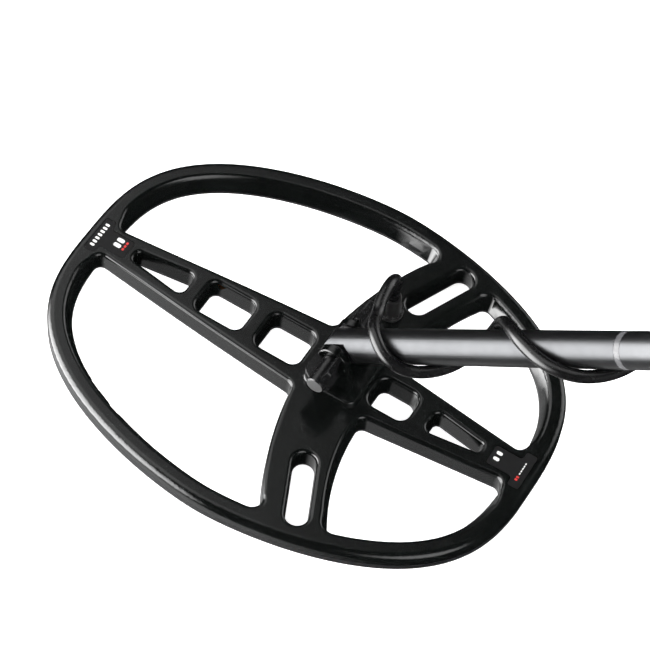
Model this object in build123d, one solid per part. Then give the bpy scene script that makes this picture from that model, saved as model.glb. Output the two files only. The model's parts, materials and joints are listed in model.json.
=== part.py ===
from build123d import *
import os
from math import atan2, cos, degrees, hypot, pi, radians, sin, sqrt, tan

# Metal detector, all sizes in millimetres.
# Row frame: the origin is on the sole of the search coil, straight below the tilt bolt. +X runs from the
# coil's toe to its heel, +Y to the side and +Z up. The tilt bolt lies along Y.
# Stem frame: the origin is on the tilt bolt, x runs up the stem, y is the row's Y and z is square to both.

# ---- driving dimensions: search coil ----
COIL_LENGTH = 280.0
COIL_WIDTH = 216.0
COIL_HEIGHT = 12.7
COIL_SETBACK = 21.0        # the tilt bolt stands this far behind the coil's centre
END_POWER = 1.71           # |x/a|^END_POWER + |y/b|^SIDE_POWER = 1 is the coil's outline
SIDE_POWER = 3.0
RIM_WIDTH = 13.2
RIM_TOP_RADIUS = 4.0
EDGE_RADIUS = 2.3
CORNER_RADIUS = 4.5
SPINE_TOE_HALF = 8.7
SPINE_HUB_HALF = 22.6
SPINE_HEEL_HALF = 9.2
SPINE_TOE_BOW = 0.9
ARM_SLOT_LENGTH = 41.5
ARM_SLOT_WIDTH = 11.6
ARM_SLOT_X = 41.0          # from the coil's centre
ARM_SLOT_Y = 72.5
ARM_SLOT_ANGLE = 24.0
CUTOUT_TAPER = 5.0
SKID_FLOOR = 1.6
SKID_LIP = 4.6
SKID_WALL = 1.2
SHELL_WALL = 2.9
SHELL_ROOF = 2.5
CHANNEL_REACH = 8.6        # from the rim's outer edge to the channel's inner side
FLOOR_STRIP = 1.2
WINDING_SIZE = 3.0
LABEL_DEPTH = 0.6
LABEL_THICKNESS = 0.45
LABEL_GLUE = 0.03

# ---- driving dimensions: tilt joint ----
PIVOT_HEIGHT = 36.0
BOLT_RADIUS = 3.9
TANG_WIDTH = 12.0
WASHER_THICKNESS = 1.4
WASHER_RADIUS = 7.4
EAR_THICKNESS = 4.5
EAR_RADIUS = 8.7
EAR_BASE_HALF = 12.5
BOSS_HEIGHT = 3.6
KNOB_LENGTH = 17.2
KNOB_HUB_RADIUS = 5.0
KNOB_WING_REACH = 9.5
KNOB_WING_THICKNESS = 2.4
KNOB_WINGS = 3
KNOB_FLOOR = 3.0

# ---- driving dimensions: stem ----
STEM_ANGLE = 41.1
STEM_RADIUS = 9.2
STEM_BORE = 7.0
STEM_END_LENGTH = 188.0
STEM_END_SOLID = 42.0
STEM_RING_LENGTH = 3.4
STEM_SPIGOT = 40.0
STEM_TUBE_END = 560.0
GUIDE_LENGTH = 15.0
TANG_FLAT = 9.0
TANG_RUNOUT = 8.0
SHAFT_RADIUS = 11.2
SHAFT_BORE = 10.0
SHAFT_START = 403.0
SHAFT_END = 1012.0
BUSH_DEPTH = 22.0
BUSH_FLANGE = 3.0
COLLAR_START = 392.0
COLLAR_END = 430.0
COLLAR_RADIUS = 16.0
LEVER_PIN_RADIUS = 2.0
LEVER_PIN_DROP = 21.5
LEVER_LENGTH = 40.0
LEVER_WIDTH = 14.0

# ---- driving dimensions: cable ----
CABLE_RADIUS = 3.3
CABLE_GAP = 0.25
WRAP_PITCH = 108.0
LOWER_WRAP_END = 226.0
UPPER_WRAP_END = 612.0
GLAND_X = 4.0
GLAND_Y = 46.0
GLAND_SPIGOT = 3.6
GLAND_FOOT = 7.0
GLAND_TIP = 4.6
GLAND_HEIGHT = 15.0

# ---- driving dimensions: grip and control pod, in the stem frame ----
GRIP_BASE_START = 676.0
GRIP_BASE_END = 774.0
GRIP_BASE_HALF = 17.0
GRIP_BASE_TOP = 40.0
GRIP_BASE_LOW = -17.5
GRIP_SCREW_RADIUS = 1.25
GRIP_SCREW_HEAD = 2.2
GRIP_WALL = 2.6
GRIP_POST_X = 742.0
GRIP_POST_Z = 38.0
GRIP_POST_LEAN = 4.0
GRIP_POST_LENGTH = 34.0
GRIP_POST_WIDTH = 25.0
GRIP_POST_CORNER = 11.5
GRIP_SLEEVE_WALL = 3.2
GRIP_SLEEVE_LOW = 9.0
GRIP_SLEEVE_LENGTH = 68.0
TRIGGER_PIVOT = (-12.5, 104.0)   # in the post's frame
TRIGGER_HALF = 5.0
TRIGGER_PIN_RADIUS = 1.5
POD_TILT = 42.0
POD_X = 735.0
POD_Z = 183.0
POD_WIDTH = 98.0
POD_LENGTH = 114.0
POD_DEPTH = 28.0
POD_FACE = 9.0
POD_WALL = 2.6
POD_CORNER = 16.0
SCREEN_WIDTH = 66.0
SCREEN_LENGTH = 46.0
SCREEN_Y = 20.0
LENS_THICKNESS = 1.8
BUTTON_RADIUS = 6.0
BUTTON_TRAVEL = 1.4
BUTTON_GAP = 0.3
BUTTON_ROW_Y = -22.0
BUTTON_PITCH = 20.0
SPEAKER_RADIUS = 14.0
JACK_RADIUS = 3.2
JACK_DEPTH = 20.0
SOCKET_AXIS = 24.5

# ---- driving dimensions: arm cuff and battery box, in the stem frame ----
CUFF_START = 925.0
CUFF_LENGTH = 76.0
CUFF_RADIUS = 50.0
CUFF_WALL = 3.0
CUFF_PAD = 4.0
CUFF_OPENING = 140.0
CLAMP_LENGTH = 40.0
CLAMP_HALF = 16.0
CLAMP_TOP = 19.0
SLIDE_GAP = 0.05
BATTERY_START = 815.0
CELL_RADIUS = 7.1
CELL_LENGTH = 50.0
CELL_SPRING = 6.0
BOX_WALL = 2.4
DOOR_THICKNESS = 4.0
PART_GAP = 0.3

# ---- worked out from the driving dimensions ----
HALF_LENGTH = COIL_LENGTH / 2
HALF_WIDTH = COIL_WIDTH / 2
LABEL_LOW = COIL_HEIGHT - LABEL_DEPTH + LABEL_GLUE
EAR_INNER = TANG_WIDTH / 2 + 0.2 + WASHER_THICKNESS
EAR_OUTER = EAR_INNER + EAR_THICKNESS
STEM_TUBE_START = STEM_END_LENGTH + STEM_RING_LENGTH
STEM_FRAME = Location((0, 0, PIVOT_HEIGHT), (0, -STEM_ANGLE, 0))
COIL_CENTRE = Location((-COIL_SETBACK, 0, 0))
POD_PLANE = Plane(
    origin=(POD_X, 0, POD_Z), x_dir=(0, 1, 0), z_dir=(sin(radians(POD_TILT)), 0, cos(radians(POD_TILT)))
)
POST_FRAME = Location((GRIP_POST_X, 0, GRIP_POST_Z), (0, -GRIP_POST_LEAN, 0))
LOWER_CLIP_TURN = 441 + 360 * (LOWER_WRAP_END - 122.3) / WRAP_PITCH
SHAFT_TOP_TURN = 90 + 360 * 4
UPPER_CLIP_TURN = SHAFT_TOP_TURN + 42

parts = {}


def keep(name, shape, place=None):
    """Stores a finished piece under its node name, moved into the row frame if a place is given."""
    parts[name] = place * shape if place is not None else shape


# ================= shared shapes =================


def oval_points(inset, count=40):
    """Points evenly spaced along the coil's outline, moved in by inset."""
    dense = []
    steps = 1440
    for k in range(steps):
        a = 2 * pi * k / steps
        u = abs(cos(a)) ** (2 / END_POWER) * (1 if cos(a) >= 0 else -1)
        v = abs(sin(a)) ** (2 / SIDE_POWER) * (1 if sin(a) >= 0 else -1)
        nx = END_POWER * abs(u) ** (END_POWER - 1) * (1 if u >= 0 else -1) / HALF_LENGTH
        ny = SIDE_POWER * abs(v) ** (SIDE_POWER - 1) * (1 if v >= 0 else -1) / HALF_WIDTH
        size = hypot(nx, ny)
        dense.append((HALF_LENGTH * u - inset * nx / size, HALF_WIDTH * v - inset * ny / size))
    lengths = [0.0]
    for p, q in zip(dense, dense[1:] + dense[:1]):
        lengths.append(lengths[-1] + hypot(q[0] - p[0], q[1] - p[1]))
    chosen = []
    k = 0
    for i in range(count):
        target = lengths[-1] * i / count
        while lengths[k + 1] < target:
            k += 1
        share = (target - lengths[k]) / (lengths[k + 1] - lengths[k])
        p, q = dense[k], dense[(k + 1) % steps]
        chosen.append((p[0] + share * (q[0] - p[0]), p[1] + share * (q[1] - p[1])))
    return chosen


def oval_face(inset):
    """The area inside the coil's outline moved in by inset, about the coil's centre."""
    return make_face(Spline(*oval_points(inset), periodic=True))


def slab(face, low, high):
    """A flat face in the ground plane raised into a solid between two heights."""
    return Pos(0, 0, low) * extrude(face, amount=high - low)


def box_between(x0, x1, y0, y1, z0, z1):
    """A box between two corners."""
    return Pos((x0 + x1) / 2, (y0 + y1) / 2, (z0 + z1) / 2) * Box(x1 - x0, y1 - y0, z1 - z0)


def rod_x(radius, start, end, y=0, z=0):
    """A cylinder along x between two stations."""
    return Pos((start + end) / 2, y, z) * Rot(0, 90, 0) * Cylinder(radius, end - start)


def rod_y(radius, start, end, x=0, z=0):
    """A cylinder along y between two stations."""
    return Pos(x, (start + end) / 2, z) * Rot(90, 0, 0) * Cylinder(radius, end - start)


def tube_x(outer, inner, start, end):
    """A tube along x."""
    return rod_x(outer, start, end) - rod_x(inner, start - 1, end + 1)


# ================= search coil =================


def spine_face():
    """The long bar down the middle of the coil, narrow at its ends and widest at the hub."""
    toe, heel = -HALF_LENGTH + 8, HALF_LENGTH - 8
    hub_toe, hub_heel = 12.0, 44.0
    hub_heel_half = SPINE_HUB_HALF - 3.4
    mid = (toe + hub_toe) / 2
    mid_half = (SPINE_TOE_HALF + SPINE_HUB_HALF) / 2 + SPINE_TOE_BOW
    edges = [
        ThreePointArc((toe, SPINE_TOE_HALF), (mid, mid_half), (hub_toe, SPINE_HUB_HALF)),
        Line((hub_toe, SPINE_HUB_HALF), (hub_heel, hub_heel_half)),
        Line((hub_heel, hub_heel_half), (heel, SPINE_HEEL_HALF)),
        Line((heel, SPINE_HEEL_HALF), (heel, -SPINE_HEEL_HALF)),
        Line((heel, -SPINE_HEEL_HALF), (hub_heel, -hub_heel_half)),
        Line((hub_heel, -hub_heel_half), (hub_toe, -SPINE_HUB_HALF)),
        ThreePointArc((hub_toe, -SPINE_HUB_HALF), (mid, -mid_half), (toe, -SPINE_TOE_HALF)),
        Line((toe, -SPINE_TOE_HALF), (toe, SPINE_TOE_HALF)),
    ]
    return make_face(edges)


def arm_face(side):
    """One side arm, swept back towards the heel, from the hub to the rim. side is 1 or -1."""
    reach = HALF_WIDTH - 8
    front = ThreePointArc((3.5, side * 15), (12.5, side * 57), (33.5, side * reach))
    back = ThreePointArc((68, side * (reach - 11)), (49.5, side * 50), (45, side * 10))
    edges = [
        front,
        Line((33.5, side * reach), (68, side * (reach - 11))),
        back,
        Line((45, side * 10), (3.5, side * 15)),
    ]
    return make_face(edges)


def rounded_box_cutter(x0, x1, half):
    """A drafted cutter for one of the spine's four-sided holes."""
    face = Pos((x0 + x1) / 2, 0) * RectangleRounded(x1 - x0, 2 * half, CORNER_RADIUS)
    return extrude(face, amount=COIL_HEIGHT + 1, taper=-CUTOUT_TAPER)


def wedge_cutter(x_narrow, x_wide, half_narrow, half_wide):
    """A drafted cutter for one of the spine's three-sided holes."""
    corners = [(x_narrow, half_narrow), (x_wide, half_wide), (x_wide, -half_wide), (x_narrow, -half_narrow)]
    corners = corners if x_narrow > x_wide else corners[::-1]
    face = make_face(Polyline(*corners, close=True))
    wide = [v for v in face.vertices() if abs(v.X - x_wide) < 0.01]
    face = fillet(wide, half_wide * 0.5)
    narrow = [v for v in face.vertices() if abs(v.X - x_narrow) < 0.01]
    face = fillet(narrow, half_narrow * 0.8)
    return extrude(Plane.XY * Face(face.face().outer_wire()), amount=COIL_HEIGHT + 1, taper=-CUTOUT_TAPER)


def spine_cutters():
    """The five holes through the spine."""
    return [
        wedge_cutter(-108, -75.5, 2.2, 6.6),
        rounded_box_cutter(-64.5, -37.5, 9.7),
        rounded_box_cutter(-26.0, -0.5, 10.8),
        rounded_box_cutter(43.5, 64.5, 8.0),
        wedge_cutter(106.5, 77.5, 2.0, 6.0),
    ]


def slot_cutter(side):
    """The long rounded slot through one side arm."""
    face = SlotOverall(ARM_SLOT_LENGTH, ARM_SLOT_WIDTH)
    cutter = extrude(face, amount=COIL_HEIGHT + 1, taper=-CUTOUT_TAPER / 2)
    return Pos(ARM_SLOT_X, side * ARM_SLOT_Y, 0) * Rot(0, 0, side * (90 - ARM_SLOT_ANGLE)) * cutter


def window_cutters():
    """The four large windows between the rim, the spine and the arms, with rounded corners."""
    area = oval_face(RIM_WIDTH) - spine_face() - arm_face(1) - arm_face(-1)
    cutters = []
    for face in area.faces():
        block = extrude(face, amount=COIL_HEIGHT + 2, dir=(0, 0, 1))
        upright = block.edges().filter_by(Axis.Z)
        cutters.append(fillet(upright, CORNER_RADIUS))
    return [Pos(0, 0, -1) * c for c in cutters]


def rail_centre(x):
    """Distance of the winding channel in a spine rail from the spine's centre line."""
    stations = [(-150, 0), (-133, 2.8), (-122, 3.4), (-100, 7.9), (-75, 11.2), (-50, 14.0), (-14, 16.2)]
    stations += [(30, 15.0), (54, 12.9), (78, 10.4), (100, 7.6), (124, 3.2), (133, 2.8), (150, 0)]
    for (x0, y0), (x1, y1) in zip(stations, stations[1:]):
        if x0 <= x <= x1:
            return y0 + (y1 - y0) * (x - x0) / (x1 - x0)
    return 0


def rail_band(side, half):
    """A band of the given half width that follows a rail of the spine."""
    stations = [-133, -122, -100, -75, -50, -14, 30, 54, 78, 100, 124, 133]
    outer = [(x, side * (rail_centre(x) + half)) for x in stations]
    inner = [(x, side * (rail_centre(x) - half)) for x in reversed(stations)]
    return make_face(Polyline(*outer, *inner, close=True))


def channel_face():
    """The plan of the channel that the windings lie in."""
    ring = oval_face(SHELL_WALL) - oval_face(CHANNEL_REACH)
    return ring + rail_band(1, 2.6) + rail_band(-1, 2.6)


def winding_face(side):
    """One D-shaped winding: half of the rim on one side and the spine rail on the other."""
    inset = RIM_WIDTH / 2 - WINDING_SIZE / 2
    stations = [-122, -100, -75, -50, -14, 30, 54, 78, 100, 124]

    def half_plane(extra):
        top = [(x, -side * (rail_centre(x) + extra)) for x in stations]
        far = side * 2 * HALF_WIDTH
        ends = [(2 * HALF_LENGTH, top[-1][1]), (2 * HALF_LENGTH, far), (-2 * HALF_LENGTH, far)]
        return make_face(Polyline((-2 * HALF_LENGTH, top[0][1]), *top, *ends, close=True))

    outer = oval_face(inset) & half_plane(WINDING_SIZE / 2)
    inner = oval_face(inset + WINDING_SIZE) & half_plane(-WINDING_SIZE / 2)
    return outer - inner


def label_face(end, gap):
    """A T-shaped label on the rim and the spine's end. end is -1 at the toe and 1 at the heel."""
    x_out, x_in = HALF_LENGTH - 4.6, HALF_LENGTH - 27.0
    bar = Pos((x_out + HALF_LENGTH - 11.5) / 2, 0) * Rectangle(x_out - HALF_LENGTH + 11.5, 23)
    stem = Pos((x_out + x_in) / 2, 0) * Rectangle(x_out - x_in, 12.4)
    face = fillet((bar + stem).vertices(), 1.6)
    face = offset(face, amount=-gap) if gap else face
    return Rot(0, 0, 0 if end > 0 else 180) * face


def ear(side):
    """One ear that the tilt bolt passes through, with a broad foot."""
    foot = COIL_HEIGHT - 1
    side_view = Plane(origin=(0, side * EAR_INNER, 0), x_dir=(1, 0, 0), z_dir=(0, side, 0))
    blade = make_face(
        Polyline(
            (-EAR_BASE_HALF, foot), (EAR_BASE_HALF, foot), (EAR_BASE_HALF, foot + BOSS_HEIGHT),
            (EAR_RADIUS, PIVOT_HEIGHT), (-EAR_RADIUS, PIVOT_HEIGHT), (-EAR_BASE_HALF, foot + BOSS_HEIGHT),
            close=True,
        )
    )
    blade += Pos(0, PIVOT_HEIGHT) * Circle(EAR_RADIUS)
    if side > 0:
        blade = mirror(blade, about=Plane.YZ)
    solid = Plane.XZ * blade
    solid = extrude(solid, amount=EAR_THICKNESS, dir=(0, side, 0))
    solid = Pos(0, side * EAR_INNER, 0) * solid
    rim = [e for e in solid.edges() if abs(abs(e.center().Y) - EAR_OUTER) < 0.01 and e.center().Z > foot + 1]
    return fillet(rim, 0.9) - rod_y(BOLT_RADIUS, -60, 60, 0, PIVOT_HEIGHT)


def hub_boss():
    """The raised pad under the ears."""
    plan = RectangleRounded(36, 2 * EAR_OUTER + 16, 7)
    pad = Pos(2, 0, COIL_HEIGHT - 2) * extrude(plan, amount=BOSS_HEIGHT + 2, taper=14)
    top = pad.edges().group_by(Axis.Z)[-1]
    return fillet(top, 1.6)


def coil_shell():
    """The moulded upper housing of the search coil."""
    body = slab(oval_face(0), SKID_FLOOR, COIL_HEIGHT)
    for cutter in window_cutters() + spine_cutters() + [slot_cutter(1), slot_cutter(-1)]:
        body -= cutter
    top = [e for e in body.edges() if abs(e.center().Z - COIL_HEIGHT) < 0.01]
    outside = max(top, key=lambda e: e.length)
    body = fillet([outside], RIM_TOP_RADIUS)
    top = [
        e
        for e in body.edges()
        if abs(e.bounding_box().min.Z - COIL_HEIGHT) < 0.01 and e.length < outside.length * 0.8
    ]
    body = fillet(top, EDGE_RADIUS)
    rebate = slab(oval_face(-2) - oval_face(SKID_WALL + 0.1), SKID_FLOOR - 1, SKID_LIP + 0.15)
    body -= rebate
    body -= slab(channel_face(), SKID_FLOOR - 1, COIL_HEIGHT - SHELL_ROOF)
    for end in (-1, 1):
        body -= slab(label_face(end, 0), COIL_HEIGHT - LABEL_DEPTH, COIL_HEIGHT + 1)
    body = COIL_CENTRE * body
    body += hub_boss()
    body += ear(1) + ear(-1)
    body -= Pos(GLAND_X, GLAND_Y, 0) * Cylinder(GLAND_SPIGOT, 40, align=(Align.CENTER, Align.CENTER, Align.MIN))
    return body


def cable_gland():
    """The tapered strain relief that the cable leaves the coil through."""
    base = COIL_HEIGHT
    foot = Pos(0, 0, base) * Cylinder(GLAND_FOOT, 2.0, align=(Align.CENTER, Align.CENTER, Align.MIN))
    cone = Cone(GLAND_FOOT - 1.2, GLAND_TIP, GLAND_HEIGHT - 2, align=(Align.CENTER, Align.CENTER, Align.MIN))
    boot = Pos(0, 0, base + 2) * cone
    spigot = Pos(0, 0, base - 9) * Cylinder(GLAND_SPIGOT, 9, align=(Align.CENTER, Align.CENTER, Align.MIN))
    hole = Pos(0, 0, base + GLAND_HEIGHT - 8) * Cylinder(
        CABLE_RADIUS, 9, align=(Align.CENTER, Align.CENTER, Align.MIN)
    )
    return Pos(GLAND_X, GLAND_Y, 0) * (foot + boot + spigot - hole)


def skid_cover():
    """The wear cover under the coil, a tray with a low lip round the rim."""
    floor = slab(oval_face(0), 0, SKID_FLOOR)
    for cutter in window_cutters() + spine_cutters() + [slot_cutter(1), slot_cutter(-1)]:
        floor -= cutter
    lip = slab(oval_face(0) - oval_face(SKID_WALL), SKID_FLOOR, SKID_LIP)
    cover = floor + lip
    low = [e for e in cover.edges() if abs(e.bounding_box().max.Z) < 0.01]
    outside = max(low, key=lambda e: e.length)
    return COIL_CENTRE * fillet([outside], 1.0)


def coil_floor():
    """The strip that closes the winding channel from below."""
    return COIL_CENTRE * slab(channel_face(), SKID_FLOOR, SKID_FLOOR + FLOOR_STRIP)


def windings():
    """The transmit and receive windings, one above the other where they cross."""
    low = SKID_FLOOR + FLOOR_STRIP + 0.3
    transmit = slab(winding_face(-1), low, low + WINDING_SIZE)
    receive = slab(winding_face(1), low + WINDING_SIZE + 0.3, low + 2 * WINDING_SIZE + 0.3)
    return COIL_CENTRE * transmit, COIL_CENTRE * receive


def label_plates():
    """Two blank T-shaped plates in their recesses."""
    plates = [
        slab(label_face(end, 0.25), LABEL_LOW, LABEL_LOW + LABEL_THICKNESS)
        for end in (-1, 1)
    ]
    return COIL_CENTRE * Compound(children=[s for p in plates for s in p.solids()])


def knob(side, wing_start, wing_tip, turn):
    """A hub with three wings along Y, on the side given, starting at the ear."""
    start = EAR_OUTER + PART_GAP
    end = start + KNOB_LENGTH
    hub = rod_y(KNOB_HUB_RADIUS, start, end, 0, 0)
    hub = chamfer(hub.edges().group_by(Axis.Y)[-1], 0.6)
    wing_profile = make_face(
        Polyline(
            (0, start), (KNOB_WING_REACH, start), (KNOB_WING_REACH, wing_start), (KNOB_HUB_RADIUS - 0.5, wing_tip),
            (0, wing_tip), close=True,
        )
    )
    wing = extrude(wing_profile, amount=KNOB_WING_THICKNESS / 2, both=True)
    tip = [e for e in wing.edges().filter_by(Axis.Z) if e.center().X > KNOB_WING_REACH - 0.1]
    wing = fillet(max(tip, key=lambda e: e.center().Y), 1.8)
    for k in range(KNOB_WINGS):
        hub += Rot(0, turn + 360 * k / KNOB_WINGS, 0) * wing
    if side < 0:
        hub = mirror(hub, about=Plane.XZ)
    return Pos(0, 0, PIVOT_HEIGHT) * hub


def tilt_bolt():
    """The bolt through both ears and the tang, with its winged head on the +Y side."""
    start = EAR_OUTER + PART_GAP
    head = knob(1, start + 1.5, start + KNOB_LENGTH - 2, 30)
    shank = rod_y(BOLT_RADIUS, -start - KNOB_LENGTH + KNOB_FLOOR + 0.5, start + 3, 0, PIVOT_HEIGHT)
    collar = rod_y(BOLT_RADIUS + 2.6, EAR_OUTER, start + 0.5, 0, PIVOT_HEIGHT)
    return head + shank + collar


def wing_nut():
    """The winged nut on the -Y side, closed at its outer end."""
    start = EAR_OUTER + PART_GAP
    nut = knob(-1, start + KNOB_LENGTH - 6.0, start + KNOB_LENGTH - 2.6, -60)
    bore = rod_y(BOLT_RADIUS + SLIDE_GAP, -start - KNOB_LENGTH + KNOB_FLOOR, 0, 0, PIVOT_HEIGHT)
    return nut - bore


def tilt_washers():
    """The two rubber washers between the tang and the ears."""
    rings = []
    for side in (-1, 1):
        low, high = sorted((side * EAR_INNER, side * (EAR_INNER - WASHER_THICKNESS)))
        ring = rod_y(WASHER_RADIUS, low, high, 0, PIVOT_HEIGHT)
        rings.append(ring - rod_y(BOLT_RADIUS, low - 1, high + 1, 0, PIVOT_HEIGHT))
    return Compound(children=[s for r in rings for s in r.solids()])


# ================= stem, in the stem frame =================


def stem_end():
    """The moulded lower stem with its tang, hollow above a solid foot."""
    body = rod_x(STEM_RADIUS, 0, STEM_END_LENGTH) + rod_x(STEM_BORE, STEM_END_LENGTH, STEM_TUBE_START + STEM_SPIGOT)
    body += rod_x(STEM_RADIUS, -STEM_RADIUS - 2, 0)
    half = TANG_WIDTH / 2
    for side in (-1, 1):
        profile = make_face(
            [
                Line((-20, side * half), (TANG_FLAT, side * half)),
                RadiusArc((TANG_FLAT, side * half), (TANG_FLAT + TANG_RUNOUT * 0.8, side * (half + TANG_RUNOUT * 0.4)),
                          TANG_RUNOUT * side),
                Line((TANG_FLAT + TANG_RUNOUT * 0.8, side * (half + TANG_RUNOUT * 0.4)),
                     (TANG_FLAT + TANG_RUNOUT * 0.8, side * 20)),
                Line((TANG_FLAT + TANG_RUNOUT * 0.8, side * 20), (-20, side * 20)),
                Line((-20, side * 20), (-20, side * half)),
            ]
        )
        body -= extrude(profile, amount=20, both=True)
    nose = rod_y(STEM_RADIUS - 0.4, -20, 20)
    blank = box_between(-30, 0, -20, 20, -20, 20) - nose
    body -= blank
    body -= rod_y(BOLT_RADIUS + SLIDE_GAP, -20, 20)
    body -= rod_x(STEM_BORE - 1.6, STEM_END_SOLID, STEM_TUBE_START + STEM_SPIGOT + 1)
    return body


def stem_pieces():
    """The trim ring, the tube and the guide bush of the lower stem."""
    keep("stem_ring", tube_x(STEM_RADIUS, STEM_BORE, STEM_END_LENGTH, STEM_TUBE_START), STEM_FRAME)
    keep("lower_tube", tube_x(STEM_RADIUS, STEM_BORE, STEM_TUBE_START, STEM_TUBE_END), STEM_FRAME)
    guide = rod_x(SHAFT_BORE - SLIDE_GAP, STEM_TUBE_END, STEM_TUBE_END + GUIDE_LENGTH)
    guide = chamfer(guide.edges().group_by(Axis.X)[-1], 0.8)
    guide += rod_x(STEM_BORE, STEM_TUBE_END - GUIDE_LENGTH, STEM_TUBE_END)
    guide -= rod_x(STEM_BORE - 1.6, STEM_TUBE_END - 30, STEM_TUBE_END + 30)
    keep("stem_guide", guide, STEM_FRAME)


def shaft_pieces():
    """The main shaft with its mouth bush and its end cap."""
    keep("main_shaft", tube_x(SHAFT_RADIUS, SHAFT_BORE, SHAFT_START, SHAFT_END), STEM_FRAME)
    bush = tube_x(SHAFT_BORE, STEM_RADIUS + SLIDE_GAP, SHAFT_START, SHAFT_START + BUSH_DEPTH)
    bush += tube_x(SHAFT_RADIUS, STEM_RADIUS + SLIDE_GAP, SHAFT_START - BUSH_FLANGE, SHAFT_START)
    keep("shaft_bush", bush, STEM_FRAME)
    cap = rod_x(SHAFT_RADIUS + 1.2, SHAFT_END - 14, SHAFT_END + 3.5)
    cap = fillet(cap.edges().group_by(Axis.X)[-1], 2.4)
    cap -= rod_x(SHAFT_RADIUS, SHAFT_END - 20, SHAFT_END)
    cap += rod_x(SHAFT_BORE, SHAFT_END - 10, SHAFT_END + 1)
    keep("shaft_end_cap", cap, STEM_FRAME)


def lock_collar():
    """The clamp collar at the shaft's mouth, with two lugs below for the cam lever."""
    body = rod_x(COLLAR_RADIUS, COLLAR_START, COLLAR_END)
    body = fillet(body.edges().filter_by(GeomType.CIRCLE), 1.6)
    middle = (COLLAR_START + COLLAR_END) / 2
    for side in (-1, 1):
        y0, y1 = sorted((side * (LEVER_WIDTH / 2 + PART_GAP), side * (LEVER_WIDTH / 2 + PART_GAP + 3.2)))
        lug = box_between(middle - 6, middle + 6, y0, y1, -LEVER_PIN_DROP, -8)
        lug += rod_y(6, y0, y1, middle, -LEVER_PIN_DROP)
        body += lug
    body += box_between(middle - 7, middle + 7, -5.2, 5.2, COLLAR_RADIUS - 3, COLLAR_RADIUS + 2.2)
    body -= rod_x(SHAFT_RADIUS, SHAFT_START - BUSH_FLANGE, COLLAR_END + 1)
    body -= rod_x(STEM_RADIUS + PART_GAP, COLLAR_START - 1, SHAFT_START)
    body -= rod_y(LEVER_PIN_RADIUS, -20, 20, middle, -LEVER_PIN_DROP)
    return body


def lock_lever():
    """The cam lever, folded back along the shaft at rest."""
    middle = (COLLAR_START + COLLAR_END) / 2
    half = LEVER_WIDTH / 2
    cam = rod_y(4.9, -half, half, middle, -LEVER_PIN_DROP)
    bar = box_between(middle, middle + LEVER_LENGTH, -half, half, -LEVER_PIN_DROP - 4.6, -LEVER_PIN_DROP - 0.6)
    tip = rod_y(3.4, -half, half, middle + LEVER_LENGTH, -LEVER_PIN_DROP - 2.6)
    lever = cam + bar + tip
    for k in range(4):
        lever -= rod_y(0.8, -half - 1, half + 1, middle + LEVER_LENGTH - 4 - 4 * k, -LEVER_PIN_DROP - 4.9)
    return lever - rod_y(LEVER_PIN_RADIUS + SLIDE_GAP, -20, 20, middle, -LEVER_PIN_DROP)


def lever_pin():
    """The pin that the cam lever turns on."""
    middle = (COLLAR_START + COLLAR_END) / 2
    reach = LEVER_WIDTH / 2 + PART_GAP + 3.2
    pin = rod_y(LEVER_PIN_RADIUS, -reach, reach, middle, -LEVER_PIN_DROP)
    head = rod_y(3.4, reach, reach + 1.4, middle, -LEVER_PIN_DROP)
    return pin + head


# ================= cable =================


def on_stem(s, turn, radius):
    """A point at distance s up the stem, at an angle round it from +y, at a radius; in the row frame."""
    a = radians(turn)
    t = radians(STEM_ANGLE)
    y, z = radius * cos(a), radius * sin(a)
    return (s * cos(t) - z * sin(t), y, PIVOT_HEIGHT + s * sin(t) + z * cos(t))


def helix_points(s0, turn0, s1, turn1, radius, step=45.0):
    """Corner points of a wrap round the stem, outside it by what the arcs cut in."""
    count = max(2, round((turn1 - turn0) / step))
    corner = radius / cos(radians((turn1 - turn0) / count / 2))
    return [
        on_stem(s0 + (s1 - s0) * k / count, turn0 + (turn1 - turn0) * k / count, corner) for k in range(count + 1)
    ]


def cable_route():
    """The corner points of the whole cable, and the places where one piece of it ends and the next starts."""
    lower = STEM_RADIUS + CABLE_RADIUS + CABLE_GAP
    upper = SHAFT_RADIUS + CABLE_RADIUS + CABLE_GAP
    over = COLLAR_RADIUS + 2.2 + CABLE_RADIUS + 0.6
    exit_z = COIL_HEIGHT + GLAND_HEIGHT
    points = [
        (GLAND_X, GLAND_Y, exit_z - 3),
        (GLAND_X, GLAND_Y, exit_z + 8),
        (GLAND_X + 1.5, GLAND_Y - 2.5, exit_z + 22),
        (GLAND_X + 2.5, GLAND_Y - 13, exit_z + 32.5),
        (GLAND_X + 4.0, GLAND_Y - 26, exit_z + 33.5),
        on_stem(24.5, 45, lower + 3.2),
        on_stem(30.5, 84, lower + 1.4),
        on_stem(37.0, 122, lower + 1.0),
        on_stem(43.5, 165, lower + 1.0),
        on_stem(51.0, 210, lower + 1.0),
        on_stem(64.5, 254, lower + 1.0),
        on_stem(79.0, 300, lower + 1.0),
        on_stem(94.0, 348, lower + 1.0),
        on_stem(108.5, 396, lower + 1.0),
    ]
    tilt_end = 5
    wrap = helix_points(122.3, 441, LOWER_WRAP_END, LOWER_CLIP_TURN, lower)
    points += wrap
    lower_end = len(points) - 1
    top = SHAFT_TOP_TURN
    slack = helix_points(LOWER_WRAP_END + 16, LOWER_CLIP_TURN + 45, COLLAR_START - 8, top, lower + 2.0)
    points += slack
    travel_end = len(points)
    points += [on_stem(397, top, over + 1.2), on_stem(411, top, over), on_stem(425, top, over + 0.2)]
    points += [on_stem(440, top + 8, upper + 2.8)]
    points += helix_points(455, UPPER_CLIP_TURN, UPPER_WRAP_END - 6, top + 42 + 360 + 270, upper)
    end = top + 720
    points += [on_stem(621, end - 8, upper + 3), on_stem(632, end, SOCKET_AXIS), on_stem(646, end, SOCKET_AXIS)]
    return [Vector(*p) for p in points], [tilt_end, lower_end, travel_end]


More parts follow.
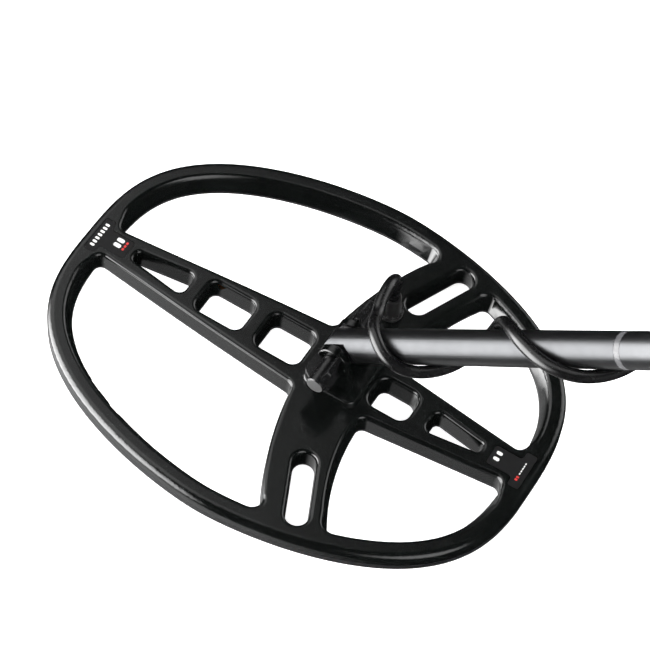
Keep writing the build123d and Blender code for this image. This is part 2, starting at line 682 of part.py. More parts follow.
def cable_radii(points):
    """The radius of the arc at each corner: 0.45 of the shorter run over the tangent of half the turn."""
    radii = []
    for a, b, c in zip(points, points[1:], points[2:]):
        turn = (b - a).get_angle(c - b)
        radii.append(0.45 * min((b - a).length, (c - b).length) / tan(radians(turn) / 2))
    return radii


def cable_piece(points, radii, first, last, whole):
    """The tube between two cuts. A cut lies halfway along the run that ends at the corner given."""
    corners = points[first:last]
    used = radii[first - 1 : last - 1]
    start = (points[first - 1] + points[first]) * 0.5
    end = (points[last - 1] + points[last]) * 0.5
    if first == 1:
        start = points[0]
    if last == len(points) - 1:
        end = points[-1]
    path = FilletPolyline(start, *corners, end, radius=used)
    section = Plane(origin=path @ 0, z_dir=path % 0) * Circle(CABLE_RADIUS)
    tube = sweep(section, path=path)
    expected = pi * CABLE_RADIUS**2 * path.length
    print(f"cable piece {first}-{last}: length {path.length:.1f}, volume {tube.volume / expected:.4f} of expected")
    return tube


def cable_pieces():
    """The cable in four pieces: across the tilt joint, round the stem, along the travel and round the shaft."""
    points, cuts = cable_route()
    radii = cable_radii(points)
    print("cable radii", [round(r, 1) for r in radii])
    names = ["cable_tilt_slack", "cable_lower_wrap", "cable_travel_slack", "cable_upper_wrap"]
    edges = [1] + [c + 1 for c in cuts] + [len(points) - 1]
    for name, first, last in zip(names, edges, edges[1:]):
        keep(name, cable_piece(points, radii, first, last, len(points)))


def cable_clip(s, turn, wrap_radius, width=8.0, wall=1.4):
    """A moulded clip that ties the cable to the stem or the shaft."""
    a = radians(turn)
    reach = wrap_radius + CABLE_RADIUS + CABLE_GAP
    body = hull_band(wrap_radius + wall, CABLE_RADIUS + 1.6 * wall, reach, a)
    ring = extrude(Plane.YZ * body, amount=width / 2, both=True)
    ring = Pos(s, 0, 0) * ring
    return ring - rod_x(wrap_radius, s - width, s + width)


def hull_band(big, small, reach, a):
    """The outline that goes round the stem and the cable beside it."""
    delta = big - small
    tilt = atan2(sqrt(reach * reach - delta * delta), delta)
    cx, cy = reach * cos(a), reach * sin(a)
    p = [(big * cos(a + tilt), big * sin(a + tilt)), (cx + small * cos(a + tilt), cy + small * sin(a + tilt))]
    q = [(cx + small * cos(a - tilt), cy + small * sin(a - tilt)), (big * cos(a - tilt), big * sin(a - tilt))]
    far = (cx + small * cos(a), cy + small * sin(a))
    back = (-big * cos(a), -big * sin(a))
    return make_face([Line(p[0], p[1]), ThreePointArc(p[1], far, q[0]), Line(q[0], q[1]), ThreePointArc(q[1], back, p[0])])


# ================= grip, in the stem frame =================


def post_solid(grow, low, high):
    """The grip's post, grown by an amount, between two heights along it."""
    face = RectangleRounded(GRIP_POST_LENGTH + 2 * grow, GRIP_POST_WIDTH + 2 * grow, GRIP_POST_CORNER + grow)
    return POST_FRAME * (Pos(0, 0, low) * extrude(face, amount=high - low))


def base_solid(grow, low, high):
    """The grip's base, grown by an amount, between two heights over the stem."""
    width = 2 * (GRIP_BASE_HALF + grow)
    length = GRIP_BASE_END - GRIP_BASE_START + 2 * grow
    middle = (GRIP_BASE_START + GRIP_BASE_END) / 2
    block = Pos(middle, 0, (low + high) / 2) * Box(length, width, high - low)
    block = fillet(block.edges().filter_by(Axis.Z), 7 + grow)
    block = fillet(block.edges().group_by(Axis.Z)[-1], 4.5 + grow)
    return fillet(block.edges().group_by(Axis.Z)[0], 3.2 + grow)


def pod_local(x, y, z):
    """A location on the pod: x across it, y up its face and z out of its face."""
    return Location(POD_PLANE) * Location((x, y, z))


def grip_screw_places():
    """Where the five screws that join the grip's halves go through, in the stem frame."""
    low = -SHAFT_RADIUS - GRIP_SCREW_RADIUS - 0.75
    places = [(GRIP_BASE_START + 10, GRIP_BASE_TOP - 5.8), (GRIP_BASE_START + 10, low)]
    places += [(GRIP_BASE_END - 10, low)]
    lean = radians(GRIP_POST_LEAN)
    for up in (4.0, 92.0):
        places.append((GRIP_POST_X + 9 * cos(lean) - up * sin(lean), GRIP_POST_Z + up * cos(lean)))
    return places


def grip_body():
    """The grip before it is split into its halves."""
    top_cut = pod_local(0, 0, 50 - POD_DEPTH + 6) * Box(400, 400, 100)
    body = base_solid(0, GRIP_BASE_LOW, GRIP_BASE_TOP)
    body += post_solid(0, -6, 140) - top_cut
    body += post_solid(3.2, -6, 7.5)
    cavity = base_solid(-GRIP_WALL, SHAFT_RADIUS + 4, GRIP_BASE_TOP - GRIP_WALL)
    cavity += post_solid(-GRIP_WALL, -16, 98)
    for x, z in grip_screw_places():
        cavity -= rod_y(3.4, -GRIP_BASE_HALF, GRIP_BASE_HALF, x, z)
    body -= cavity
    body -= rod_x(SHAFT_RADIUS, GRIP_BASE_START - 5, GRIP_BASE_END + 5)
    body -= rod_x(7.5, GRIP_BASE_START - 5, GRIP_BASE_START + 10, 0, SOCKET_AXIS)
    body -= rod_x(5.6, GRIP_BASE_END - 12, GRIP_BASE_END + 5, 0, SOCKET_AXIS)
    px, pz = TRIGGER_PIVOT
    slot = box_between(-30, px + 6.5, -TRIGGER_HALF - PART_GAP, TRIGGER_HALF + PART_GAP, pz - 26, pz + 5)
    body -= POST_FRAME * slot
    body -= POST_FRAME * rod_y(TRIGGER_PIN_RADIUS, -40, 40, px, pz)
    for x, z in grip_screw_places():
        body -= rod_y(GRIP_SCREW_RADIUS, -40, 40, x, z)
        half = GRIP_BASE_HALF if z < GRIP_BASE_TOP else GRIP_POST_WIDTH / 2
        body -= rod_y(GRIP_SCREW_HEAD + 0.2, -half - 4, -half + 2.2, x, z)
    return body


def grip_halves():
    """The grip's left and right halves."""
    body = grip_body()
    left = body & box_between(500, 900, 0, 60, -60, 300)
    right = body & box_between(500, 900, -60, 0, -60, 300)
    return STEM_FRAME * left, STEM_FRAME * right


def grip_sleeve():
    """The ribbed rubber sleeve round the grip's post."""
    low, high = GRIP_SLEEVE_LOW, GRIP_SLEEVE_LOW + GRIP_SLEEVE_LENGTH
    sleeve = post_solid(GRIP_SLEEVE_WALL, low, high)
    ends = [e for e in sleeve.edges() if e.length > 60 or e.geom_type == GeomType.CIRCLE]
    sleeve = fillet(sleeve.faces().filter_by(lambda f: f.area > 900 and f.geom_type == GeomType.PLANE and abs(
        f.normal_at().Z) > 0.9).edges(), 1.8) if ends else sleeve
    for k in range(11):
        z = low + 6 + 5.6 * k
        groove = post_solid(GRIP_SLEEVE_WALL + 1, z, z + 1.5) - post_solid(GRIP_SLEEVE_WALL - 0.8, z - 1, z + 3)
        sleeve -= groove
    return STEM_FRAME * (sleeve - post_solid(0, low - 2, high + 2))


def grip_screws():
    """The screws that join the grip's halves, with their heads on the right."""
    screws = []
    for x, z in grip_screw_places():
        half = GRIP_BASE_HALF if z < GRIP_BASE_TOP else GRIP_POST_WIDTH / 2
        screw = rod_y(GRIP_SCREW_RADIUS, -half + 0.4, half - 3, x, z)
        screw += rod_y(GRIP_SCREW_HEAD, -half + 0.4, -half + 2.2, x, z)
        screw -= box_between(x - 1.6, x + 1.6, -half - 1, -half + 1.2, z - 0.35, z + 0.35)
        screws += screw.solids()
    return STEM_FRAME * Compound(children=screws)


def trigger():
    """The finger trigger at the front of the post."""
    px, pz = TRIGGER_PIVOT
    outline = [
        (px + 3.2, pz + 1.5), (px - 2.0, pz + 4.4), (px - 9.0, pz + 1.0), (px - 13.2, pz - 18.5),
        (px - 11.5, pz - 21.5), (px - 8.8, pz - 20.5), (px - 5.6, pz - 8.0), (px + 1.5, pz - 3.0),
    ]
    face = make_face(Polyline(*outline, close=True))
    solid = extrude(Plane.XZ * face, amount=TRIGGER_HALF, both=True)
    solid = fillet(solid.edges().filter_by(Axis.Y), 0.7)
    solid -= rod_y(TRIGGER_PIN_RADIUS + SLIDE_GAP, -20, 20, px, pz)
    return STEM_FRAME * (POST_FRAME * solid)


def trigger_pin():
    """The pin that the trigger turns on."""
    half = GRIP_POST_WIDTH / 2 - 0.6
    return STEM_FRAME * (POST_FRAME * rod_y(TRIGGER_PIN_RADIUS, -half, half, *TRIGGER_PIVOT))


def coil_socket():
    """The threaded socket for the coil's cable, in the front of the grip's base."""
    z = SOCKET_AXIS
    barrel = rod_x(7.5, GRIP_BASE_START - 16, GRIP_BASE_START + 10, 0, z)
    flange = rod_x(10.0, GRIP_BASE_START - 2, GRIP_BASE_START, 0, z)
    return STEM_FRAME * (barrel + flange - rod_x(5.1, GRIP_BASE_START - 17, GRIP_BASE_START - 3, 0, z))


def coil_plug():
    """The cable's plug, pushed into its socket."""
    z = SOCKET_AXIS
    nose = rod_x(5.1, GRIP_BASE_START - 16.5, GRIP_BASE_START - 4, 0, z)
    shoulder = rod_x(7.3, GRIP_BASE_START - 20.5, GRIP_BASE_START - 16.3, 0, z)
    body = rod_x(5.6, GRIP_BASE_START - 36.5, GRIP_BASE_START - 20, 0, z)
    body = chamfer(body.edges().group_by(Axis.X)[0], 1.2)
    return STEM_FRAME * (nose + shoulder + body - rod_x(CABLE_RADIUS, 630, 646, 0, z))


def plug_ring():
    """The knurled ring that screws the plug to its socket."""
    z = SOCKET_AXIS
    start, end = GRIP_BASE_START - 23.5, GRIP_BASE_START - 3.5
    ring = rod_x(10.6, start, end, 0, z)
    ring = fillet(ring.edges().filter_by(GeomType.CIRCLE), 0.9)
    ring -= rod_x(5.6 + SLIDE_GAP, start - 1, end, 0, z)
    ring -= rod_x(7.5 + PART_GAP, GRIP_BASE_START - 20.8, end + 1, 0, z)
    for k in range(18):
        a = 2 * pi * k / 18
        ring -= rod_x(0.7, start + 3, end - 3, 10.7 * cos(a), z + 10.7 * sin(a))
    return STEM_FRAME * ring


def headphone_socket():
    """The headphone socket in the back of the grip's base."""
    z = SOCKET_AXIS
    barrel = rod_x(5.6, GRIP_BASE_END - JACK_DEPTH - 3, GRIP_BASE_END, 0, z)
    flange = rod_x(8.0, GRIP_BASE_END, GRIP_BASE_END + 1.6, 0, z)
    flange = chamfer(flange.edges().group_by(Axis.X)[-1], 0.5)
    bore = rod_x(JACK_RADIUS, GRIP_BASE_END + 1.6 - JACK_DEPTH, GRIP_BASE_END + 3, 0, z)
    return STEM_FRAME * (barrel + flange - bore)


# ================= control pod =================


def pod_slab(grow, low, high, corner=POD_CORNER):
    """The pod's outline, grown by an amount, between two depths along the pod's own z."""
    face = RectangleRounded(POD_WIDTH + 2 * grow, POD_LENGTH + 2 * grow, max(corner + grow, 1))
    return Pos(0, 0, low) * extrude(face, amount=high - low)


def pod_to_row(shape):
    """Moves a shape made in the pod's own frame into the row frame."""
    return STEM_FRAME * (Location(POD_PLANE) * shape)


def boss_places():
    """Where the pod's four screws go, on the pod."""
    x, y = POD_WIDTH / 2 - 10, POD_LENGTH / 2 - 10
    return [(x, y), (-x, y), (-x, -y), (x, -y)]


def rod_z(radius, low, high, x=0, y=0):
    """A cylinder along z between two heights."""
    return Pos(x, y, (low + high) / 2) * Cylinder(radius, high - low)


def pod_back():
    """The pod's back half, with a pocket for the top of the grip's post."""
    shell = pod_slab(0, -POD_DEPTH, -POD_FACE)
    shell = fillet(shell.edges().group_by(Axis.Z)[0], 6)
    hollow = pod_slab(-POD_WALL, -POD_DEPTH + POD_WALL, -POD_FACE + 1)
    shell -= hollow
    for x, y in boss_places():
        shell += rod_z(4.5, -POD_DEPTH + POD_WALL - 0.5, -POD_FACE, x, y)
    for x, y in board_places():
        shell += rod_z(3.0, -POD_DEPTH + POD_WALL - 0.5, BOARD_LOW, x, y)
    boss = Location(POD_PLANE).inverse() * (post_solid(2.8, 60, 150))
    shell += boss & pod_slab(-1, -POD_DEPTH + 1, -POD_DEPTH + 9)
    pocket = Location(POD_PLANE).inverse() * post_solid(0, 60, 150)
    shell -= pocket & pod_slab(60, -POD_DEPTH - 60, -POD_DEPTH + 6)
    for x, y in boss_places():
        shell -= rod_z(1.6, -POD_DEPTH - 1, -POD_FACE + 1, x, y)
        shell -= rod_z(3.2, -POD_DEPTH - 1, -POD_DEPTH + 2.2, x, y)
    for k in range(-2, 3):
        slit = Pos(5 * k, SPEAKER_Y, -POD_DEPTH) * extrude(SlotOverall(20 - 2 * abs(k), 2.0, rotation=90), 8, both=True)
        shell -= slit
    return pod_to_row(shell)


BOARD_LOW = -14.0
BOARD_THICKNESS = 1.6
SPEAKER_Y = 30.0


def board_places():
    """Where the posts under the circuit board stand, on the pod."""
    return [(36, 30), (-36, 30), (-36, -34), (36, -34)]


def pod_front():
    """The pod's front half, with its screen window and button holes."""
    shell = pod_slab(0, -POD_FACE, 0)
    shell = fillet(shell.edges().group_by(Axis.Z)[-1], 3.5)
    shell -= pod_slab(-POD_WALL, -POD_FACE - 1, -POD_WALL)
    for x, y in boss_places():
        shell += rod_z(4.5, -POD_FACE, -POD_WALL + 0.5, x, y)
        shell -= rod_z(1.3, -POD_FACE - 1, -POD_WALL, x, y)
    lens = RectangleRounded(SCREEN_WIDTH + 4.2, SCREEN_LENGTH + 4.2, 5)
    shell -= Pos(0, SCREEN_Y, -LENS_THICKNESS) * extrude(lens, amount=5)
    shell -= Pos(0, SCREEN_Y, -8) * extrude(RectangleRounded(SCREEN_WIDTH - 4, SCREEN_LENGTH - 4, 3), amount=12)
    for k in range(4):
        shell -= rod_z(BUTTON_RADIUS + BUTTON_GAP, -10, 5, (k - 1.5) * BUTTON_PITCH, BUTTON_ROW_Y)
    return pod_to_row(shell)


def display_pieces():
    """The lens and the screen under it."""
    lens = Pos(0, SCREEN_Y, -LENS_THICKNESS) * extrude(
        RectangleRounded(SCREEN_WIDTH + 4, SCREEN_LENGTH + 4, 4.9), amount=LENS_THICKNESS - 0.1
    )
    keep("display_lens", pod_to_row(lens))
    screen = Pos(0, SCREEN_Y, -POD_WALL - 1.8) * Box(SCREEN_WIDTH + 4, SCREEN_LENGTH + 4, 3.6)
    keep("lcd_screen", pod_to_row(screen))


def circuit_board():
    """The circuit board with its chips and the screen's frame."""
    board = Pos(0, 2, BOARD_LOW + BOARD_THICKNESS / 2) * Box(74, 78, BOARD_THICKNESS)
    board = fillet(board.edges().filter_by(Axis.Z), 3)
    top = BOARD_LOW + BOARD_THICKNESS
    board += Pos(0, SCREEN_Y, (top - POD_WALL - 3.6) / 2) * Box(60, 36, -POD_WALL - 3.6 - top)
    for x, y, w, l, h in [(-24, -31, 10, 6, 2.2), (4, -31, 10, 6, 1.6), (24, -31, 6, 6, 3.4), (-33, 6, 4, 14, 2.6)]:
        board += Pos(x, y, top + h / 2) * Box(w, l, h)
    return pod_to_row(board)


def button_mat():
    """The rubber mat whose domes push the buttons back up."""
    high = -POD_WALL - 1.3 - BUTTON_GAP - BUTTON_TRAVEL - 0.3
    mat = Pos(0, BUTTON_ROW_Y, high - 0.75) * extrude(RectangleRounded(78, 14, 5), amount=1.5)
    mat = Pos(0, 0, -0.75) * mat
    for k in range(5):
        mat += rod_z(1.6, BOARD_LOW + BOARD_THICKNESS, high - 0.8, (k - 2) * BUTTON_PITCH * 0.95, BUTTON_ROW_Y - 2)
    return pod_to_row(mat)


def button(index):
    """One push button with the flange that keeps it in the pod."""
    x = (index - 1.5) * BUTTON_PITCH
    under = -POD_WALL - BUTTON_GAP
    cap = rod_z(BUTTON_RADIUS, under - 1.3, 2.0, x, BUTTON_ROW_Y)
    cap = fillet(cap.edges().group_by(Axis.Z)[-1], 0.9)
    flange = rod_z(BUTTON_RADIUS + 1.4, under - 1.3, under, x, BUTTON_ROW_Y)
    return pod_to_row(cap + flange)


def speaker():
    """The round speaker inside the pod's back."""
    low = -POD_DEPTH + POD_WALL
    body = rod_z(SPEAKER_RADIUS, low, low + 3, 0, SPEAKER_Y)
    magnet = rod_z(SPEAKER_RADIUS * 0.6, low + 3, low + 6.5, 0, SPEAKER_Y)
    return pod_to_row(body + magnet - rod_z(SPEAKER_RADIUS - 2.5, low - 1, low + 1, 0, SPEAKER_Y))


def pod_screws():
    """The four screws that close the pod, from behind."""
    screws = []
    for x, y in boss_places():
        head = rod_z(3.0, -POD_DEPTH + 0.4, -POD_DEPTH + 2.2, x, y)
        head -= Pos(x, y, -POD_DEPTH + 0.4) * (Box(3.6, 0.8, 1.6) + Box(0.8, 3.6, 1.6))
        screw = head + rod_z(1.3, -POD_DEPTH + 2.0, -POD_WALL - 2, x, y)
        screws += screw.solids()
    return pod_to_row(Compound(children=screws))


# ================= battery box, in the stem frame =================

PLATE = 0.6
BOX_INNER_START = BATTERY_START + 3.0
BOX_INNER_END = BOX_INNER_START + 2 * PLATE + CELL_SPRING + CELL_LENGTH + 1.4
BOX_END = BOX_INNER_END + 3.0
BOX_INNER_HALF = 2 * CELL_RADIUS + 0.8
BOX_ROOF = -SHAFT_RADIUS - 4.0
BOX_LOW = BOX_ROOF - 4 * CELL_RADIUS - 1.2
HINGE_X = BATTERY_START - 3.5
HINGE_Z = BOX_LOW - PART_GAP
HINGE_RADIUS = 3.0


def battery_box():
    """The battery box under the shaft, open below, with a strap round the shaft at each end."""
    half = BOX_INNER_HALF + BOX_WALL
    box = box_between(BATTERY_START, BOX_END, -half, half, BOX_LOW, 0)
    box = fillet(box.edges().filter_by(Axis.Z), 3)
    for start in (BATTERY_START, BOX_END - 9):
        box += rod_x(SHAFT_RADIUS + 3.0, start, start + 9)
    box -= rod_x(SHAFT_RADIUS, BATTERY_START - 5, BOX_END + 5)
    box -= box_between(BOX_INNER_START, BOX_INNER_END, -BOX_INNER_HALF, BOX_INNER_HALF, BOX_LOW - 1, BOX_ROOF)
    for side in (-1, 1):
        y0, y1 = sorted((side * (9 + PART_GAP), side * 14))
        lug = rod_y(HINGE_RADIUS, y0, y1, HINGE_X, HINGE_Z)
        lug += box_between(HINGE_X, BATTERY_START + 1, y0, y1, HINGE_Z + 0.3, HINGE_Z + HINGE_RADIUS)
        box += lug
    box -= rod_y(1.2, -20, 20, HINGE_X, HINGE_Z)
    return STEM_FRAME * box


def battery_door():
    """The door under the battery box, hinged at its front, with a latch lip at its back."""
    half = BOX_INNER_HALF + BOX_WALL
    low, high = HINGE_Z - DOOR_THICKNESS, HINGE_Z
    plate = box_between(BATTERY_START + 0.5, BOX_END + 2.3, -half, half, low, high)
    plate = fillet(plate.edges().filter_by(Axis.Z), 3)
    plate = fillet(plate.edges().group_by(Axis.Z)[0], 1.5)
    lip = box_between(BOX_END + PART_GAP, BOX_END + 2.3, -7, 7, high - 1, high + 6)
    knuckle = rod_y(HINGE_RADIUS, -9, 9, HINGE_X, HINGE_Z)
    arm = box_between(HINGE_X, BATTERY_START + 2, -9, 9, low + 1.0, high - 0.2)
    door = plate + lip + knuckle + arm
    for k in range(6):
        x = BOX_END - 22 + 3.2 * k
        door -= rod_y(0.9, -11, 11, x, low - 0.2)
    return STEM_FRAME * (door - rod_y(1.2 + SLIDE_GAP, -20, 20, HINGE_X, HINGE_Z))


def door_pin():
    """The battery door's hinge pin."""
    return STEM_FRAME * rod_y(1.2, -14, 14, HINGE_X, HINGE_Z)


def cell_places():
    """Centres of the four cells across the box."""
    y = CELL_RADIUS + 0.4
    z = BOX_ROOF - CELL_RADIUS - 0.2
    return [(y, z), (-y, z), (y, z - 2 * CELL_RADIUS - 0.4), (-y, z - 2 * CELL_RADIUS - 0.4)]


def battery_cells():
    """The four round cells."""
    start = BOX_INNER_START + PLATE + CELL_SPRING
    cells = []
    for y, z in cell_places():
        cell = rod_x(CELL_RADIUS, start, start + CELL_LENGTH, y, z)
        cell = fillet(cell.edges().filter_by(GeomType.CIRCLE), 0.6)
        cell += rod_x(2.6, start + CELL_LENGTH - 0.5, start + CELL_LENGTH + 1.4, y, z)
        cells += cell.solids()
    return STEM_FRAME * Compound(children=cells)


def contact_plates():
    """The contact plates at both ends of the battery box."""
    z_low, z_high = BOX_LOW + 1.0, BOX_ROOF - 0.4
    half = BOX_INNER_HALF - 0.4
    front = box_between(BOX_INNER_START, BOX_INNER_START + PLATE, -half, half, z_low, z_high)
    back = box_between(BOX_INNER_END - PLATE, BOX_INNER_END, -half, half, z_low, z_high)
    return STEM_FRAME * Compound(children=[front.solids()[0], back.solids()[0]])


def contact_springs():
    """The four springs that press the cells against the back plate."""
    springs = []
    wire = 0.4
    for y, z in cell_places():
        turns = Helix(pitch=(CELL_SPRING - 2 * wire) / 4, height=CELL_SPRING - 2 * wire, radius=3.6)
        section = Plane(origin=turns @ 0, z_dir=turns % 0) * Circle(wire)
        coil = sweep(section, path=turns)
        place = Location((BOX_INNER_START + PLATE + wire, y, z), (0, 90, 0))
        springs += (place * coil).solids()
    return STEM_FRAME * Compound(children=springs)


# ================= arm cuff, in the stem frame =================

CUFF_CENTRE = CLAMP_TOP + CUFF_WALL + CUFF_RADIUS
CLAMP_START = CUFF_START + (CUFF_LENGTH - CLAMP_LENGTH) / 2
CUFF_KNOB_X = CLAMP_START + CLAMP_LENGTH / 2


def arc_band(inner, outer, start, end, spread):
    """A band round the cuff's axis that is open at the top."""
    ring = Pos((start + end) / 2, 0, CUFF_CENTRE) * Rot(0, 90, 0) * (
        Cylinder(outer, end - start) - Cylinder(inner, end - start + 2)
    )
    a = radians(spread / 2)
    reach = outer * 2.5
    mouth = make_face(
        Polyline((0, 0), (reach * sin(a), reach * cos(a)), (0, reach * 1.2), (-reach * sin(a), reach * cos(a)), close=True)
    )
    mouth = Pos(start - 5, 0, CUFF_CENTRE) * extrude(Plane.YZ * mouth, amount=end - start + 10)
    return ring - mouth


def arm_cuff():
    """The cradle for the forearm."""
    cuff = arc_band(CUFF_RADIUS, CUFF_RADIUS + CUFF_WALL, CUFF_START, CUFF_START + CUFF_LENGTH, CUFF_OPENING)
    ends = [e for e in cuff.edges() if e.length < CUFF_WALL + 0.1 and abs(e.center().Y) > CUFF_RADIUS * 0.8]
    cuff = fillet(ends, 10)
    for x in (CUFF_KNOB_X - 11, CUFF_KNOB_X + 11):
        cuff -= rod_z(2.1, 0, CUFF_CENTRE, x, 0)
    return STEM_FRAME * cuff


def cuff_pad():
    """The soft lining of the arm cradle."""
    start, end = CUFF_START + 3, CUFF_START + CUFF_LENGTH - 3
    pad = arc_band(CUFF_RADIUS - CUFF_PAD, CUFF_RADIUS, start, end, CUFF_OPENING + 8)
    for x in (CUFF_KNOB_X - 11, CUFF_KNOB_X + 11):
        pad -= rod_z(4.6, 0, CUFF_CENTRE, x, 0)
    return STEM_FRAME * pad


def cuff_clamp():
    """The block that slides on the shaft and carries the cradle."""
    end = CLAMP_START + CLAMP_LENGTH
    block = box_between(CLAMP_START, end, -CLAMP_HALF, CLAMP_HALF, -CLAMP_HALF, CLAMP_TOP + 4)
    block = fillet(block.edges().filter_by(Axis.X).group_by(Axis.Z)[0], 9)
    block -= Pos((CLAMP_START + end) / 2, 0, CUFF_CENTRE) * Rot(0, 90, 0) * Cylinder(CUFF_RADIUS + CUFF_WALL, 100)
    block -= rod_x(SHAFT_RADIUS + SLIDE_GAP, CLAMP_START - 1, end + 1)
    for x in (CUFF_KNOB_X - 11, CUFF_KNOB_X + 11):
        block -= rod_z(1.8, SHAFT_RADIUS - 2, CUFF_CENTRE, x, 0)
    return STEM_FRAME * (block - rod_y(2.5 + SLIDE_GAP, -40, 0, CUFF_KNOB_X, 0))


def cuff_screws():
    """The two screws that hold the cradle to its clamp."""
    screws = []
    for x in (CUFF_KNOB_X - 11, CUFF_KNOB_X + 11):
        floor = CUFF_CENTRE - CUFF_RADIUS
        screw = rod_z(1.8, SHAFT_RADIUS + 1.2, floor + 1, x, 0)
        head = rod_z(3.8, floor + 0.15, floor + 2.4, x, 0)
        head -= Pos(x, 0, floor + 2.4) * (Box(4.6, 0.9, 2) + Box(0.9, 4.6, 2))
        screws += (screw + head).solids()
    return STEM_FRAME * Compound(children=screws)


def cuff_knob():
    """The thumb screw that locks the clamp on the shaft."""
    start, end = -CLAMP_HALF - PART_GAP, -CLAMP_HALF - 13
    knob_body = rod_y(9.5, end, start, CUFF_KNOB_X, 0)
    knob_body = fillet(knob_body.edges().filter_by(GeomType.CIRCLE), 1.2)
    for k in range(12):
        a = 2 * pi * k / 12
        knob_body -= rod_y(1.4, end - 1, start + 1, CUFF_KNOB_X + 10 * cos(a), 10 * sin(a))
    screw = rod_y(2.5, start - 1, -SHAFT_RADIUS - 0.35, CUFF_KNOB_X, 0)
    return STEM_FRAME * (knob_body + screw)


# ================= whole detector =================


def build_coil():
    """The search coil's pieces."""
    keep("coil_shell", coil_shell())
    keep("skid_cover", skid_cover())
    keep("coil_floor", coil_floor())
    transmit, receive = windings()
    keep("transmit_winding", transmit)
    keep("receive_winding", receive)
    keep("label_plates", label_plates())
    keep("cable_gland", cable_gland())
    keep("tilt_bolt", tilt_bolt())
    keep("tilt_washers", tilt_washers())
    keep("wing_nut", wing_nut())


def build_stem():
    """The stem, the shaft, its lock and the cable with its clips."""
    keep("stem_end", stem_end(), STEM_FRAME)
    stem_pieces()
    shaft_pieces()
    keep("lock_collar", lock_collar(), STEM_FRAME)
    keep("lock_lever", lock_lever(), STEM_FRAME)
    keep("lever_pin", lever_pin(), STEM_FRAME)
    cable_pieces()
    lower = STEM_FRAME * cable_clip(LOWER_WRAP_END - 6.7, LOWER_CLIP_TURN - 22.5, STEM_RADIUS)
    keep("lower_cable_clip", lower - parts["cable_lower_wrap"])
    upper = STEM_FRAME * cable_clip(UPPER_WRAP_END - 28, UPPER_CLIP_TURN + 540, SHAFT_RADIUS)
    keep("upper_cable_clip", upper - parts["cable_upper_wrap"])


def build_handle():
    """The grip, the control pod, the battery box and the arm cuff."""
    left, right = grip_halves()
    keep("grip_left", left)
    keep("grip_right", right)
    for maker in (grip_sleeve, grip_screws, trigger, trigger_pin, coil_socket, coil_plug, plug_ring):
        keep(maker.__name__, maker())
    for maker in (headphone_socket, pod_back, pod_front, circuit_board, button_mat, speaker, pod_screws):
        keep(maker.__name__, maker())
    display_pieces()
    for k in range(4):
        keep(f"button_{k + 1}", button(k))
    for maker in (battery_box, battery_door, door_pin, battery_cells, contact_plates, contact_springs):
        keep(maker.__name__, maker())
    for maker in (arm_cuff, cuff_pad, cuff_clamp, cuff_screws, cuff_knob):
        keep(maker.__name__, maker())


def main():
    """Builds every piece and writes one file for each."""
    build_coil()
    build_stem()
    build_handle()
    os.makedirs("parts", exist_ok=True)
    for name, shape in parts.items():
        export_step(shape, f"parts/{name}.step")
        box = shape.bounding_box()
        print(f"{name}: {len(shape.solids())} solid(s), {box.size.X:.1f} x {box.size.Y:.1f} x {box.size.Z:.1f}")


main()
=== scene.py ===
"""A hand-held metal detector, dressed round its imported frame.

Each sub-assembly is a class that turns its frame nodes into softened, dressed pieces and adds the small
parts that the frame leaves out: trims, stitches, ridges and print. Every size is in metres, in the row frame.
"""

import json
import logging
import math
import sys
from dataclasses import dataclass, field
from enum import Enum
from typing import Callable, ClassVar, Sequence

import bmesh
import bpy
from mathutils import Matrix, Vector

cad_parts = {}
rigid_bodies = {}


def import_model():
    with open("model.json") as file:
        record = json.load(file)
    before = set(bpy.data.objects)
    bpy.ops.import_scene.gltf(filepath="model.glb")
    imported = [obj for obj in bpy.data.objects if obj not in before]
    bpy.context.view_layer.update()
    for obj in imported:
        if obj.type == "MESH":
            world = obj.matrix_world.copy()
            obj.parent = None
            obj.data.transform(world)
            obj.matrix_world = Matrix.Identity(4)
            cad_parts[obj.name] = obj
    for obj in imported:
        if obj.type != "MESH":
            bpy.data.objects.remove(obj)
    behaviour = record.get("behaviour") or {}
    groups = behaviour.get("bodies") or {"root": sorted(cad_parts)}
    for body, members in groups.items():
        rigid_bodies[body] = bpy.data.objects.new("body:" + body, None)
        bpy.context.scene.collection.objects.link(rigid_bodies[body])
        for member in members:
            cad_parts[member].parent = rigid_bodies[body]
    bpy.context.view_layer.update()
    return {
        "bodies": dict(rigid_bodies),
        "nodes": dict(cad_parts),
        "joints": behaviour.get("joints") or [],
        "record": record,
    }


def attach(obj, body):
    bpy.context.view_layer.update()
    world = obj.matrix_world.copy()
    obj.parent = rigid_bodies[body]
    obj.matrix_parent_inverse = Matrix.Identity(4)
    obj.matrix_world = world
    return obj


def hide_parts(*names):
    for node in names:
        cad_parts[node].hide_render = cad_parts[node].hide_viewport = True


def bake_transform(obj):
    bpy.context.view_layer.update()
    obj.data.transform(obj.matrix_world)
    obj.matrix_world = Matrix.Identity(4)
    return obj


LOG = logging.getLogger("detector")
MM = 0.001
Point = tuple[float, float, float]
Colour = tuple[float, float, float]

STEM_ANGLE = math.radians(41.1)
PIVOT_HEIGHT = 0.036
QUARTER_TURN = math.pi / 2

MERGE_DISTANCE = 2e-6
FLAT_ANGLE = 0.4
CRISP_ANGLE = 40.0


def on_stem(s: float, y: float, z: float) -> Vector:
    """Turns a place in the stem's frame into the row frame.

    Args:
        s: Distance up the stem from the tilt bolt, in mm.
        y: Distance to the side, in mm.
        z: Distance square to the stem, in mm.

    Returns:
        The same place in the row frame, in metres.
    """
    c, n = math.cos(STEM_ANGLE), math.sin(STEM_ANGLE)
    return Vector(((s * c - z * n) * MM, y * MM, PIVOT_HEIGHT + (s * n + z * c) * MM))


